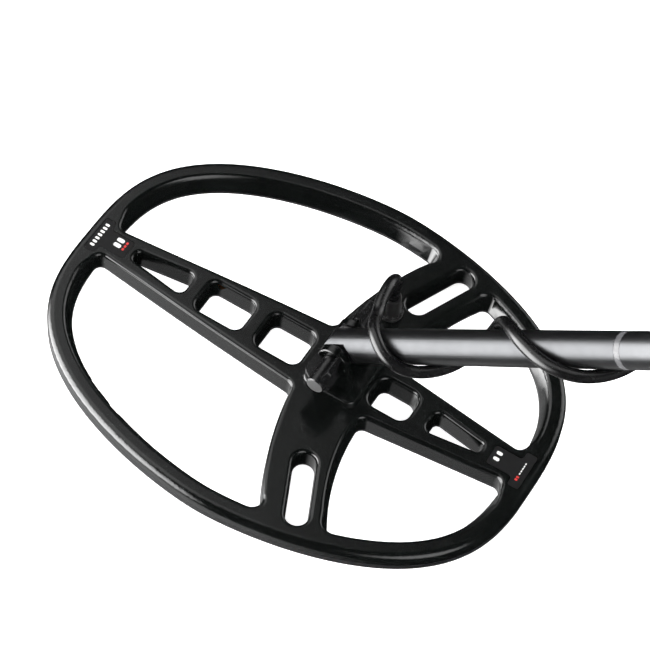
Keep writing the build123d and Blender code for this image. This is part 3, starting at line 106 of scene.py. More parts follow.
def stem_matrix(s: float, y: float, z: float) -> Matrix:
    """Gives the turn and place whose local x runs up the stem, with its origin at a place in mm."""
    return Matrix.Translation(on_stem(s, y, z)) @ Matrix.Rotation(-STEM_ANGLE, 4, "Y")


# ---------------------------------------------------------------- materials


class Grain(Enum):
    """The kinds of surface relief that a finish can have."""

    FINE = "fine"
    LEATHERY = "leathery"


Height = tuple[bpy.types.NodeSocket, float]


@dataclass(frozen=True)
class Ripple:
    """One layer of unevenness: how fine it is, how many octaves it has, and its depth in metres."""

    scale: float
    octaves: float
    depth: float


class Shader:
    """A material under construction, with short ways to add and join its nodes.

    LOW and HIGH are where most of a noise pattern's values end.
    """

    LOW: ClassVar[float] = 0.3
    HIGH: ClassVar[float] = 0.7

    def __init__(self, name: str) -> None:
        """Starts a material that holds one principled shader.

        Args:
            name: The material's name.
        """
        self.material = bpy.data.materials.new(name)
        self.material.use_nodes = True
        self.nodes = self.material.node_tree.nodes
        self.links = self.material.node_tree.links
        self.base = self.nodes["Principled BSDF"]

    def node(self, kind: str, values: dict | None = None, **settings: object) -> bpy.types.Node:
        """Adds a node.

        Args:
            kind: The node's type name.
            values: Values for its inputs, by socket name or number.
            **settings: Its own properties.

        Returns:
            The new node.
        """
        made = self.nodes.new(kind)
        for key, value in settings.items():
            setattr(made, key, value)
        for key, value in (values or {}).items():
            made.inputs[key].default_value = value
        return made

    def join(self, source: bpy.types.NodeSocket, target: bpy.types.NodeSocket) -> None:
        """Links two sockets."""
        self.links.new(source, target)

    def set(self, **values: object) -> None:
        """Sets constants on the principled shader's own sockets, an underscore standing for a space."""
        for key, value in values.items():
            self.base.inputs[key.replace("_", " ")].default_value = value

    def place(self, scale: Point = (1, 1, 1), turn: float = 0.0) -> bpy.types.NodeSocket:
        """Gives object coordinates, stretched and turned about Y.

        Args:
            scale: The stretch along each axis.
            turn: The turn about Y in radians.

        Returns:
            The coordinate socket.
        """
        coordinates = self.node("ShaderNodeTexCoord")
        turned = self.node("ShaderNodeMapping", {"Rotation": (0, turn, 0)})
        stretched = self.node("ShaderNodeMapping", {"Scale": scale})
        self.join(coordinates.outputs["Object"], turned.inputs["Vector"])
        self.join(turned.outputs["Vector"], stretched.inputs["Vector"])
        return stretched.outputs["Vector"]

    def noise(self, at: bpy.types.NodeSocket, scale: float, detail: float = 3.0) -> bpy.types.NodeSocket:
        """Adds a noise pattern and gives its value."""
        made = self.node("ShaderNodeTexNoise", {"Scale": scale, "Detail": detail})
        self.join(at, made.inputs["Vector"])
        return made.outputs["Fac"]

    def between(self, value: bpy.types.NodeSocket, low: float, high: float) -> bpy.types.NodeSocket:
        """Spreads a 0 to 1 value, mostly used around its middle, between two ends."""
        ends = {"From Min": self.LOW, "From Max": self.HIGH, "To Min": low, "To Max": high}
        made = self.node("ShaderNodeMapRange", ends)
        self.join(value, made.inputs["Value"])
        return made.outputs["Result"]

    def tint(self, value: bpy.types.NodeSocket, dark: Colour, light: Colour) -> None:
        """Lets the base colour run between two colours with a value."""
        ramp = self.node("ShaderNodeValToRGB")
        for stop, place, colour in zip(ramp.color_ramp.elements, (self.LOW, self.HIGH), (dark, light)):
            stop.position = place
            stop.color = (*colour, 1)
        self.join(value, ramp.inputs["Fac"])
        self.join(ramp.outputs["Color"], self.base.inputs["Base Color"])

    def relief(self, heights: Sequence[Height]) -> None:
        """Stacks bumps, each a height value and its depth in metres, onto the shader."""
        normal = None
        for value, depth in heights:
            bump = self.node("ShaderNodeBump", {"Strength": 1.0, "Distance": depth})
            self.join(value, bump.inputs["Height"])
            if normal is not None:
                self.join(normal, bump.inputs["Normal"])
            normal = bump.outputs["Normal"]
        self.join(normal, self.base.inputs["Normal"])

    def ripples(self, at: bpy.types.NodeSocket, layers: Sequence[Ripple]) -> list[Height]:
        """Gives the height and depth of each layer of unevenness, for use in relief."""
        return [(self.noise(at, layer.scale, layer.octaves), layer.depth) for layer in layers]

    def crossed(self, at: bpy.types.NodeSocket, values: dict[str, float], depth: float) -> list[Height]:
        """Gives two sets of parallel waves, square to each other, for use in relief.

        Args:
            at: The coordinates that they follow.
            values: Values for the wave nodes' inputs.
            depth: How deep they are in metres.

        Returns:
            Their heights and depths.
        """
        waves = []
        for direction in ("X", "Y"):
            wave = self.node("ShaderNodeTexWave", values, bands_direction=direction)
            self.join(at, wave.inputs["Vector"])
            waves.append((wave.outputs["Fac"], depth))
        return waves


def shade(colour: Colour, by: float) -> Colour:
    """Scales a colour's lightness."""
    return tuple(min(1.0, c * by) for c in colour)


@dataclass(frozen=True)
class Finish:
    """A finish that a piece can wear."""

    BROAD: ClassVar[tuple[float, float]] = (35.0, 4.0)
    RUBBED: ClassVar[tuple[float, float]] = (160.0, 5.0)
    SMOOTHEST: ClassVar[float] = 0.02
    RIPPLES: ClassVar[tuple[Ripple, ...]] = (Ripple(420.0, 2.0, 0.00002),)

    name: str
    slot: str
    colour: Colour
    roughness: float = 0.4
    vary: float = 0.06
    mottle: float = 0.12

    def make(self) -> bpy.types.Material:
        """Gives the finish's material, built once.

        Returns:
            The material.
        """
        found = bpy.data.materials.get(self.name)
        if found is not None:
            return found
        shader = Shader(self.name)
        at = shader.place()
        broad = shader.noise(at, *self.BROAD)
        shader.tint(broad, shade(self.colour, 1 - self.mottle), shade(self.colour, 1 + self.mottle))
        rubbed = shader.noise(at, *self.RUBBED)
        low = max(self.SMOOTHEST, self.roughness - self.vary)
        rough = shader.between(rubbed, low, self.roughness + self.vary)
        shader.join(rough, shader.base.inputs["Roughness"])
        self.dress(shader, at)
        return shader.material

    def dress(self, shader: Shader, at: bpy.types.NodeSocket) -> None:
        """Adds what is special to the finish. A plain finish adds its ripples and nothing else."""
        shader.relief(shader.ripples(at, self.RIPPLES))


@dataclass(frozen=True)
class GlossPlastic(Finish):
    """Glossy moulded plastic with faint flow marks, a fine orange peel and duller, rubbed patches."""

    RIPPLES: ClassVar[tuple[Ripple, ...]] = (Ripple(26.0, 1.0, 0.00012), Ripple(700.0, 2.0, 0.000006))

    def dress(self, shader: Shader, at: bpy.types.NodeSocket) -> None:
        """Adds the plastic's gloss and its ripples."""
        shader.set(Specular_IOR_Level=0.5, IOR=1.5)
        super().dress(shader, at)


@dataclass(frozen=True)
class TexturedPlastic(Finish):
    """Plastic from a grained mould."""

    RIPPLES: ClassVar[tuple[Ripple, ...]] = (Ripple(1500.0, 3.0, 0.00006), Ripple(60.0, 2.0, 0.00008))
    UNDER_CELLS: ClassVar[tuple[Ripple, ...]] = (Ripple(90.0, 3.0, 0.00005),)
    CELL_SCALE: ClassVar[float] = 900.0
    CELL_DEPTH: ClassVar[float] = 0.00006

    grain: Grain = Grain.FINE

    def dress(self, shader: Shader, at: bpy.types.NodeSocket) -> None:
        """Adds the mould's grain."""
        if self.grain is Grain.FINE:
            super().dress(shader, at)
            return
        cells = shader.node("ShaderNodeTexVoronoi", {"Scale": self.CELL_SCALE}, feature="DISTANCE_TO_EDGE")
        shader.join(at, cells.inputs["Vector"])
        heights = [(cells.outputs["Distance"], self.CELL_DEPTH)]
        shader.relief(heights + shader.ripples(at, self.UNDER_CELLS))


@dataclass(frozen=True)
class Rubber(Finish):
    """Moulded rubber with a dusty bloom."""

    RIPPLES: ClassVar[tuple[Ripple, ...]] = (Ripple(900.0, 4.0, 0.00005), Ripple(140.0, 2.0, 0.00004))

    def dress(self, shader: Shader, at: bpy.types.NodeSocket) -> None:
        """Adds a soft sheen and a fine grain."""
        shader.set(Sheen_Weight=0.08, Sheen_Roughness=0.5)
        super().dress(shader, at)


@dataclass(frozen=True)
class Jacket(Finish):
    """A cable's smooth jacket, with the faint ripple of the cores twisted inside it and a fine grain."""

    RIPPLES: ClassVar[tuple[Ripple, ...]] = (Ripple(120.0, 1.0, 0.00006), Ripple(1600.0, 2.0, 0.00001))


@dataclass(frozen=True)
class Metal(Finish):
    """Drawn, brushed or plated metal, with fine lines along the stem."""

    RIPPLES: ClassVar[tuple[Ripple, ...]] = (Ripple(300.0, 3.0, 0.00001),)
    DRAWN_LINES: ClassVar[tuple[Ripple, ...]] = (Ripple(1.0, 4.0, 0.000012),)
    STRETCH: ClassVar[Point] = (30.0, 900.0, 900.0)

    anodised: bool = False

    def dress(self, shader: Shader, at: bpy.types.NodeSocket) -> None:
        """Adds the lines of the drawing die and, on an anodised tube, its dyed, slightly dull skin."""
        shader.set(Metallic=0.85 if self.anodised else 1.0)
        if self.anodised:
            shader.set(Specular_IOR_Level=0.6, Coat_Weight=0.15, Coat_Roughness=0.3)
        lines = shader.ripples(shader.place(self.STRETCH, STEM_ANGLE), self.DRAWN_LINES)
        shader.relief(lines + shader.ripples(at, self.RIPPLES))


@dataclass(frozen=True)
class Glass(Finish):
    """A clear window or lens."""

    RIPPLES: ClassVar[tuple[Ripple, ...]] = (Ripple(18.0, 2.0, 0.00002),)

    def dress(self, shader: Shader, at: bpy.types.NodeSocket) -> None:
        """Makes it clear, with faint smears."""
        shader.set(Transmission_Weight=0.92, IOR=1.49, Coat_Weight=0.3, Coat_Roughness=0.05)
        super().dress(shader, at)


@dataclass(frozen=True)
class Screen(Finish):
    """A reflective grey-green display with its fine grid of cells."""

    CELL_SCALE: ClassVar[float] = 420.0
    CELL_DEPTH: ClassVar[float] = 0.00002

    def dress(self, shader: Shader, at: bpy.types.NodeSocket) -> None:
        """Adds the grid of cells as shallow lines."""
        shader.relief(shader.crossed(at, {"Scale": self.CELL_SCALE}, self.CELL_DEPTH))


@dataclass(frozen=True)
class Weave(Finish):
    """A knitted face over foam."""

    RIPPLES: ClassVar[tuple[Ripple, ...]] = (Ripple(1400.0, 3.0, 0.00012),)
    THREADS: ClassVar[dict[str, float]] = {"Scale": 700.0, "Distortion": 1.2}
    THREAD_DEPTH: ClassVar[float] = 0.00022

    def dress(self, shader: Shader, at: bpy.types.NodeSocket) -> None:
        """Adds warp and weft from the piece's own UV map, and a fuzz."""
        shader.set(Sheen_Weight=0.45, Sheen_Roughness=0.45)
        surface = shader.node("ShaderNodeUVMap", uv_map="surface").outputs["UV"]
        threads = shader.crossed(surface, self.THREADS, self.THREAD_DEPTH)
        shader.relief(threads + shader.ripples(at, self.RIPPLES))


MOULDED_BLACK: Colour = (0.017, 0.0175, 0.018)


@dataclass(frozen=True)
class Palette:
    """All the detector's finishes."""

    coil: Finish = GlossPlastic(
        "coil_gloss_black", "coil_housing", (0.003, 0.0036, 0.0034), 0.15, vary=0.04, mottle=0.2
    )
    skid: Finish = TexturedPlastic("skid_satin_black", "skid_plastic", (0.010, 0.010, 0.0105), 0.42)
    boot: Finish = Rubber("gland_rubber_black", "black_rubber", (0.004, 0.004, 0.004), 0.38)
    disc: Finish = Finish("nut_disc_grey", "fastener_plastic", (0.1, 0.1, 0.1), 0.38)
    strip: Finish = Finish("potting_grey", "potting_strip", (0.05, 0.05, 0.055), 0.6)
    copper: Finish = Metal("winding_copper", "copper_winding", (0.72, 0.3, 0.15), 0.3)
    label: Finish = Finish("label_film_black", "label_film", (0.0025, 0.0025, 0.003), 0.55)
    print_white: Finish = Finish("label_print_white", "label_film", (0.75, 0.75, 0.74), 0.5)
    print_red: Finish = Finish("label_print_red", "label_film", (0.5, 0.02, 0.015), 0.5)
    rubber: Finish = Rubber("rubber_black", "black_rubber", (0.012, 0.012, 0.012), 0.62)
    fastener: Finish = GlossPlastic("knob_black", "fastener_plastic", (0.006, 0.0062, 0.0065), 0.24)
    stem: Finish = Metal(
        "stem_anodised_grey", "stem_finish", (0.042, 0.043, 0.045), 0.36, 0.04, 0.08, anodised=True
    )
    ring: Finish = GlossPlastic("stem_ring_grey", "ring_trim", (0.1, 0.1, 0.105), 0.3)
    tube: Finish = Metal(
        "stem_tube_anodised", "stem_tube", (0.05, 0.051, 0.053), 0.33, 0.04, 0.08, anodised=True
    )
    shaft: Finish = Metal("shaft_anodised_black", "shaft_tube", (0.018, 0.0185, 0.02), 0.3, anodised=True)
    bush: Finish = Finish("bush_grey", "bush_plastic", (0.06, 0.06, 0.06), 0.5)
    collar: Finish = TexturedPlastic("collar_black", "collar_plastic", (0.014, 0.014, 0.0145), 0.45)
    lever: Finish = GlossPlastic("lever_red", "lever_plastic", (0.42, 0.03, 0.012), 0.32)
    steel: Finish = Metal("pin_steel", "pin_steel", (0.55, 0.55, 0.56), 0.28)
    cable: Finish = Jacket("cable_jacket_black", "cable_jacket", (0.005, 0.005, 0.0052), 0.26, vary=0.05)
    grip: Finish = TexturedPlastic(
        "grip_grained_black", "grip_plastic", MOULDED_BLACK, 0.5, grain=Grain.LEATHERY
    )
    pod: Finish = TexturedPlastic("pod_grained_black", "pod_plastic", (0.024, 0.025, 0.027), 0.46)
    board: Finish = GlossPlastic("board_green", "board_green", (0.01, 0.12, 0.04), 0.35)
    silicone: Finish = Rubber("mat_silicone", "mat_rubber", (0.2, 0.2, 0.2), 0.55)
    speaker: Finish = TexturedPlastic("speaker_black", "speaker_frame", (0.03, 0.03, 0.03), 0.6)
    lens: Finish = Glass("lens_clear", "lens_clear", (0.9, 0.93, 0.94), 0.04, vary=0.02, mottle=0.01)
    screen: Finish = Screen(
        "screen_grey_green", "screen_glass", (0.13, 0.165, 0.11), 0.25, vary=0.04, mottle=0.05
    )
    ink: Finish = Finish("screen_ink", "screen_glass", (0.015, 0.02, 0.015), 0.4)
    key: Finish = Rubber("key_rubber_grey", "button_rubber", (0.11, 0.11, 0.115), 0.5)
    trigger: Finish = TexturedPlastic("trigger_red", "trigger_plastic", (0.4, 0.03, 0.012), 0.4)
    connector: Finish = Metal("connector_dark_metal", "connector_metal", (0.3, 0.3, 0.31), 0.3)
    plug: Finish = TexturedPlastic("plug_black", "plug_plastic", (0.014, 0.014, 0.014), 0.45)
    cell: Finish = GlossPlastic("cell_sleeve", "cell_wrap", (0.3, 0.2, 0.03), 0.3)
    contact: Finish = Metal("contact_nickel", "contact_steel", (0.65, 0.64, 0.6), 0.22)
    box: Finish = TexturedPlastic(
        "box_grained_black", "box_plastic", MOULDED_BLACK, 0.5, grain=Grain.LEATHERY
    )
    cuff: Finish = TexturedPlastic(
        "cuff_grained_black", "cuff_plastic", MOULDED_BLACK, 0.48, grain=Grain.LEATHERY
    )
    pad: Finish = Weave(
        "pad_knit_charcoal", "pad_foam", (0.022, 0.022, 0.024), 0.85, vary=0.05, mottle=0.25
    )
    thread: Finish = Finish("pad_thread_grey", "pad_foam", (0.12, 0.12, 0.125), 0.7)


PALETTE = Palette()


# ---------------------------------------------------------------- shared making


def linked(name: str, data: bpy.types.ID) -> bpy.types.Object:
    """Makes an object for some data and links it into the scene."""
    made = bpy.data.objects.new(name, data)
    bpy.context.scene.collection.objects.link(made)
    return made


def evaluated(holder: bpy.types.Object) -> bpy.types.Mesh:
    """Gives an object's shape with its modifiers applied, as a new mesh."""
    graph = bpy.context.evaluated_depsgraph_get()
    graph.update()
    return bpy.data.meshes.new_from_object(holder.evaluated_get(graph), depsgraph=graph)


def close_shape(shape: bmesh.types.BMesh, mesh: bpy.types.Mesh) -> None:
    """Turns a closed shape's faces outwards, writes it to a mesh and frees it."""
    bmesh.ops.recalc_face_normals(shape, faces=shape.faces)
    shape.to_mesh(mesh)
    shape.free()


def lathe(shape: bmesh.types.BMesh, outline: Sequence[tuple[float, float]], sides: int) -> list[list]:
    """Turns an outline about z.

    Args:
        shape: What the faces are added to.
        outline: The radius and height of each ring in metres.
        sides: How many vertices each ring has.

    Returns:
        The rings of vertices, in the outline's order.
    """
    turns = [2 * math.pi * k / sides for k in range(sides)]
    rings = [[shape.verts.new((r * math.cos(t), r * math.sin(t), z)) for t in turns] for r, z in outline]
    for low, high in zip(rings, rings[1:]):
        for k in range(sides):
            n = (k + 1) % sides
            shape.faces.new((low[k], low[n], high[n], high[k]))
    return rings


def new_object(name: str, mesh: bpy.types.Mesh, finish: Finish) -> bpy.types.Object:
    """Links a mesh as a piece that wears one finish.

    Args:
        name: The piece's name.
        mesh: Its mesh, already in the row frame.
        finish: What it wears.

    Returns:
        The new object.
    """
    made = linked(name, mesh)
    mesh.materials.clear()
    mesh.materials.append(finish.make())
    return made


def settle(made: bpy.types.Object) -> None:
    """Applies a mesh object's modifiers, so that it keeps a plain mesh."""
    mesh = evaluated(made)
    made.modifiers.clear()
    made.data = mesh


def crease(mesh: bpy.types.Mesh, angle: float) -> None:
    """Shades a mesh smooth except over edges sharper than an angle in degrees."""
    mesh.shade_smooth()
    mesh.set_sharp_from_angle(angle=math.radians(angle))


Reshape = Callable[[bmesh.types.BMesh], None]


def break_edges(made: bpy.types.Object, width: float, angle: float) -> None:
    """Bevels a piece's sharp edges and evens out its shading.

    Args:
        made: The piece.
        width: Width of the broken edges in mm; none when 0.
        angle: Edges sharper than this, in degrees, are broken.
    """
    if width > 0:
        bevel = made.modifiers.new("soften", "BEVEL")
        bevel.width = width * MM
        bevel.segments = 2
        bevel.limit_method = "ANGLE"
        bevel.angle_limit = math.radians(angle)
        bevel.use_clamp_overlap = True
        bevel.harden_normals = False
    weigh = made.modifiers.new("weigh", "WEIGHTED_NORMAL")
    weigh.keep_sharp = True
    settle(made)


def skin(
    frame: dict, node: str, finish: Finish, soften: float, angle: float, reshape: Reshape | None = None
) -> bpy.types.Object:
    """Makes the piece that stands for a frame node: its own shape with its doubles merged and edges broken.

    Args:
        node: The node's name.
        finish: What the piece wears.
        soften: Width of the broken edges in mm; none when 0.
        angle: Edges sharper than this, in degrees, are broken and stay crisp.
        reshape: What moves the merged mesh's vertices, if anything.

    Returns:
        The piece, in place but riding on nothing yet.
    """
    mesh = frame["nodes"][node].data.copy()
    mesh.name = f"{node}_skin"
    shape = bmesh.new()
    shape.from_mesh(mesh)
    bmesh.ops.remove_doubles(shape, verts=shape.verts, dist=MERGE_DISTANCE)
    flat = math.radians(FLAT_ANGLE)
    bmesh.ops.dissolve_limit(shape, angle_limit=flat, verts=shape.verts, edges=shape.edges)
    if reshape is not None:
        reshape(shape)
    shape.to_mesh(mesh)
    shape.free()
    for name in ("sharp_edge", "custom_normal", "sharp_face"):
        if name in mesh.attributes:
            mesh.attributes.remove(mesh.attributes[name])
    made = new_object(f"{node}_skin", mesh, finish)
    crease(mesh, angle)
    break_edges(made, soften, angle)
    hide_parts(node)
    return made


class Tree:
    """A geometry node tree with named inputs, ending in Realize Instances and Set Material."""

    def __init__(self, name: str, sizes: dict[str, tuple[str, object]], finish: Finish) -> None:
        """Starts the tree.

        Args:
            name: The tree's name.
            sizes: Its inputs: name to socket kind and value.
            finish: What the result wears.
        """
        self.tree = bpy.data.node_groups.new(name, "GeometryNodeTree")
        self.values = dict(sizes)
        self.finish = finish
        face = self.tree.interface
        face.new_socket("Geometry", in_out="INPUT", socket_type="NodeSocketGeometry")
        self.ids = {}
        for key, (kind, _) in sizes.items():
            made = face.new_socket(key, in_out="INPUT", socket_type=f"NodeSocket{kind}")
            self.ids[key] = made.identifier
        face.new_socket("Geometry", in_out="OUTPUT", socket_type="NodeSocketGeometry")
        self.start = self.tree.nodes.new("NodeGroupInput")
        self.end = self.tree.nodes.new("NodeGroupOutput")

    def size(self, key: str) -> bpy.types.NodeSocket:
        """Gives an input's socket by name."""
        return self.start.outputs[key]

    def add(self, kind: str, wires: dict | None = None, **settings: object) -> bpy.types.Node:
        """Adds a node.

        Args:
            kind: Its type name after "GeometryNode", or a whole type name.
            wires: Socket name or number to the socket that feeds it, or to a constant.
            **settings: Its own properties.

        Returns:
            The node.
        """
        whole = kind if kind.startswith(("Function", "Shader")) else f"GeometryNode{kind}"
        made = self.tree.nodes.new(whole)
        for key, value in settings.items():
            setattr(made, key, value)
        for key, value in (wires or {}).items():
            if isinstance(value, bpy.types.NodeSocket):
                self.tree.links.new(value, made.inputs[key])
            else:
                made.inputs[key].default_value = value
        return made

    def calc(self, operation: str, a: object, b: object = 0.0) -> bpy.types.NodeSocket:
        """Adds a sum on two numbers and gives its result."""
        return self.add("ShaderNodeMath", {0: a, 1: b}, operation=operation).outputs[0]

    def vector(self, x: object = 0.0, y: object = 0.0, z: object = 0.0) -> bpy.types.NodeSocket:
        """Puts three numbers together."""
        return self.add("ShaderNodeCombineXYZ", {0: x, 1: y, 2: z}).outputs[0]

    def run(
        self, name: str, result: bpy.types.NodeSocket, place: Matrix, source: bpy.types.ID | None = None
    ) -> bpy.types.Object:
        """Closes the tree, runs it on an object and keeps the result as a plain mesh in place.

        Args:
            name: The piece's name.
            result: The geometry to finish with.
            place: Where the piece's own origin goes, in the row frame.
            source: The curve or mesh data that the tree works on; an empty mesh if left out.

        Returns:
            The finished piece.
        """
        real = self.add("RealizeInstances", {0: result})
        dressed = self.add("SetMaterial", {0: real.outputs[0], "Material": self.finish.make()})
        self.tree.links.new(dressed.outputs[0], self.end.inputs[0])
        holder = linked(f"{name}_maker", source or bpy.data.meshes.new(f"{name}_maker"))
        modifier = holder.modifiers.new(self.tree.name, "NODES")
        modifier.node_group = self.tree
        for key, (_, value) in self.values.items():
            modifier[self.ids[key]] = value
        mesh = evaluated(holder)
        holder.modifiers.clear()
        bpy.data.objects.remove(holder)
        mesh.name = name
        mesh.transform(place)
        made = new_object(name, mesh, self.finish)
        crease(mesh, CRISP_ANGLE)
        return made


def ring_of_ribs(
    name: str, finish: Finish, place: Matrix, radius: float, count: int, rib: Point
) -> bpy.types.Object:
    """Sets rounded ribs round an axis, as on a knurled ring or knob.

    Args:
        name: The piece's name.
        finish: What it wears.
        place: Its centre, with local x along the axis.
        radius: Radius of the surface that the ribs stand on, in mm.
        count: How many ribs.
        rib: Each rib's width, its length along the axis and how far it stands out, in mm.

    Returns:
        The ribs as one piece.
    """
    width, length, proud = rib
    sizes = {
        "Count": ("Int", count),
        "Radius": ("Float", radius * MM),
        "Rib Width": ("Float", width * MM),
        "Rib Length": ("Float", length * MM),
        "Proud": ("Float", proud * MM),
    }
    tree = Tree(name, sizes, finish)
    circle = tree.add("MeshCircle", {"Vertices": tree.size("Count"), "Radius": tree.size("Radius")})
    sphere = tree.add("MeshUVSphere", {"Segments": 8, "Rings": 6, "Radius": 0.5})
    depth = tree.calc("MULTIPLY", tree.size("Proud"), 2.0)
    shape = tree.vector(depth, tree.size("Rib Width"), tree.size("Rib Length"))
    bar = tree.add("Transform", {0: sphere.outputs[0], "Scale": shape})
    position = tree.add("InputPosition")
    turned = tree.add("FunctionNodeAlignEulerToVector", {"Vector": position.outputs[0]}, axis="X")
    wires = {0: circle.outputs[0], "Instance": bar.outputs[0], "Rotation": turned.outputs[0]}
    ribs = tree.add("InstanceOnPoints", wires)
    upright = tree.add("Transform", {0: ribs.outputs[0], "Rotation": (0, QUARTER_TURN, 0)})
    return tree.run(name, upright.outputs[0], place)


def bars_in_row(
    name: str, finish: Finish, place: Matrix, count: int, pitch: float, size: Point
) -> bpy.types.Object:
    """Lays equal rounded bars side by side along the local y axis.

    Args:
        name: The piece's name.
        finish: What it wears.
        place: The row's middle.
        count: How many bars.
        pitch: From one bar to the next in mm.
        size: Each bar's length, width and height in mm.

    Returns:
        The bars as one piece.
    """
    sizes = {
        "Count": ("Int", count),
        "Pitch": ("Float", pitch * MM),
        "Bar": ("Vector", tuple(s * MM for s in size)),
    }
    tree = Tree(name, sizes, finish)
    half = tree.calc("MULTIPLY", tree.calc("SUBTRACT", tree.size("Count"), 1.0), -0.5)
    line = tree.add(
        "MeshLine",
        {
            "Count": tree.size("Count"),
            "Start Location": tree.vector(0.0, tree.calc("MULTIPLY", half, tree.size("Pitch")), 0.0),
            "Offset": tree.vector(0.0, tree.size("Pitch"), 0.0),
        },
    )
    sphere = tree.add("MeshUVSphere", {"Segments": 10, "Rings": 6, "Radius": 0.5})
    block = tree.add("MeshCube", {"Size": (0.82, 0.82, 0.9)})
    both = tree.add("JoinGeometry")
    tree.tree.links.new(sphere.outputs[0], both.inputs[0])
    tree.tree.links.new(block.outputs[0], both.inputs[0])
    hull = tree.add("ConvexHull", {0: both.outputs[0]})
    bar = tree.add("Transform", {0: hull.outputs[0], "Scale": tree.size("Bar")})
    row = tree.add("InstanceOnPoints", {0: line.outputs[0], "Instance": bar.outputs[0]})
    return tree.run(name, row.outputs[0], place)


def domed_disc(name: str, finish: Finish, place: Matrix, radius: float, height: float) -> bpy.types.Object:
    """Makes a closed, slightly domed disc that faces along the local z axis.

    Args:
        name: The piece's name.
        finish: What it wears.
        place: The middle of its flat back.
        radius: Its radius in mm.
        height: Its height at the middle in mm.

    Returns:
        The disc.
    """
    profile = [(1.0, 0.0), (1.0, 0.3), (0.96, 0.6), (0.8, 0.85), (0.4, 1.0)]
    shape = bmesh.new()
    rings = lathe(shape, [(radius * share * MM, height * lift * MM) for share, lift in profile], 40)
    shape.faces.new(rings[-1])
    shape.faces.new(rings[0][::-1])
    mesh = bpy.data.meshes.new(name)
    close_shape(shape, mesh)
    mesh.transform(place)
    made = new_object(name, mesh, finish)
    crease(mesh, 50)
    return made


def nurbs(name: str, points: Sequence[Vector]) -> bpy.types.Curve:
    """Makes an open smooth spline with the points given as its control points.

    Args:
        name: The curve's name.
        points: Its control points.

    Returns:
        The curve.
    """
    curve = bpy.data.curves.new(name, "CURVE")
    curve.dimensions = "3D"
    spline = curve.splines.new("NURBS")
    spline.points.add(len(points) - 1)
    for control, place in zip(spline.points, points):
        control.co = (*place, 1.0)
    spline.order_u = 3
    spline.use_endpoint_u = True
    curve.resolution_u = spline.resolution_u = 10
    return curve


def line_of(curve: bpy.types.Curve) -> list[Vector]:
    """Gives the points that a curve with no bevel runs through.

    Args:
        curve: The curve.

    Returns:
        Its points in order.
    """
    holder = linked("line_reader", curve)
    mesh = evaluated(holder)
    bpy.data.objects.remove(holder)
    return [v.co.copy() for v in mesh.vertices]


def tube_along(name: str, curve: bpy.types.Curve, radius: float, finish: Finish) -> bpy.types.Object:
    """Makes a tube that follows a curve.

    Args:
        name: The piece's name.
        curve: The path.
        radius: The tube's radius in mm.
        finish: What it wears.

    Returns:
        The tube.
    """
    tree = Tree(name, {"Radius": ("Float", radius * MM), "Sides": ("Int", 20)}, finish)
    sizes = {"Resolution": tree.size("Sides"), "Radius": tree.size("Radius")}
    profile = tree.add("CurvePrimitiveCircle", sizes)
    wires = {"Curve": tree.size("Geometry"), "Profile Curve": profile.outputs[0], "Fill Caps": True}
    tube = tree.add("CurveToMesh", wires)
    smooth = tree.add("SetShadeSmooth", {0: tube.outputs[0]})
    made = tree.run(name, smooth.outputs[0], Matrix.Identity(4), curve)
    shape = bmesh.new()
    shape.from_mesh(made.data)
    close_shape(shape, made.data)
    crease(made.data, CRISP_ANGLE)
    return made


@dataclass
class Assembly:
    """What every sub-assembly shares: the frame, and how its nodes are dressed."""

    frame: dict
    made: list[bpy.types.Object] = field(default_factory=list)

    def build(self) -> None:
        """Builds the assembly's pieces."""
        raise NotImplementedError

    def wear(self, body: str, dress: dict[str, tuple[Finish, float]], angle: float = 30.0) -> None:
        """Makes a skin for each node and lets it ride on a body.

        Args:
            body: The body's name.
            dress: Node to finish and edge softening in mm.
            angle: Edges sharper than this, in degrees, are broken.
        """
        for node, (finish, soften) in dress.items():
            self.keep(skin(self.frame, node, finish, soften, angle), body)

    def keep(self, piece: bpy.types.Object, body: str) -> bpy.types.Object:
        """Lets a piece ride on a body and remembers it."""
        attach(piece, body)
        self.made.append(piece)
        return piece

    def report(self) -> None:
        """Logs each piece and its size in mm."""
        for piece in self.made:
            size = " x ".join(f"{d / MM:.1f}" for d in piece.dimensions)
            LOG.info("%s: %s, %s mm", type(self).__name__, piece.name, size)


# ---------------------------------------------------------------- search coil


def ease(value: float, low: float, high: float) -> float:
    """Gives 0 below low, 1 above high and a smooth step between them."""
    t = min(1.0, max(0.0, (value - low) / (high - low)))
    return t * t * (3 - 2 * t)


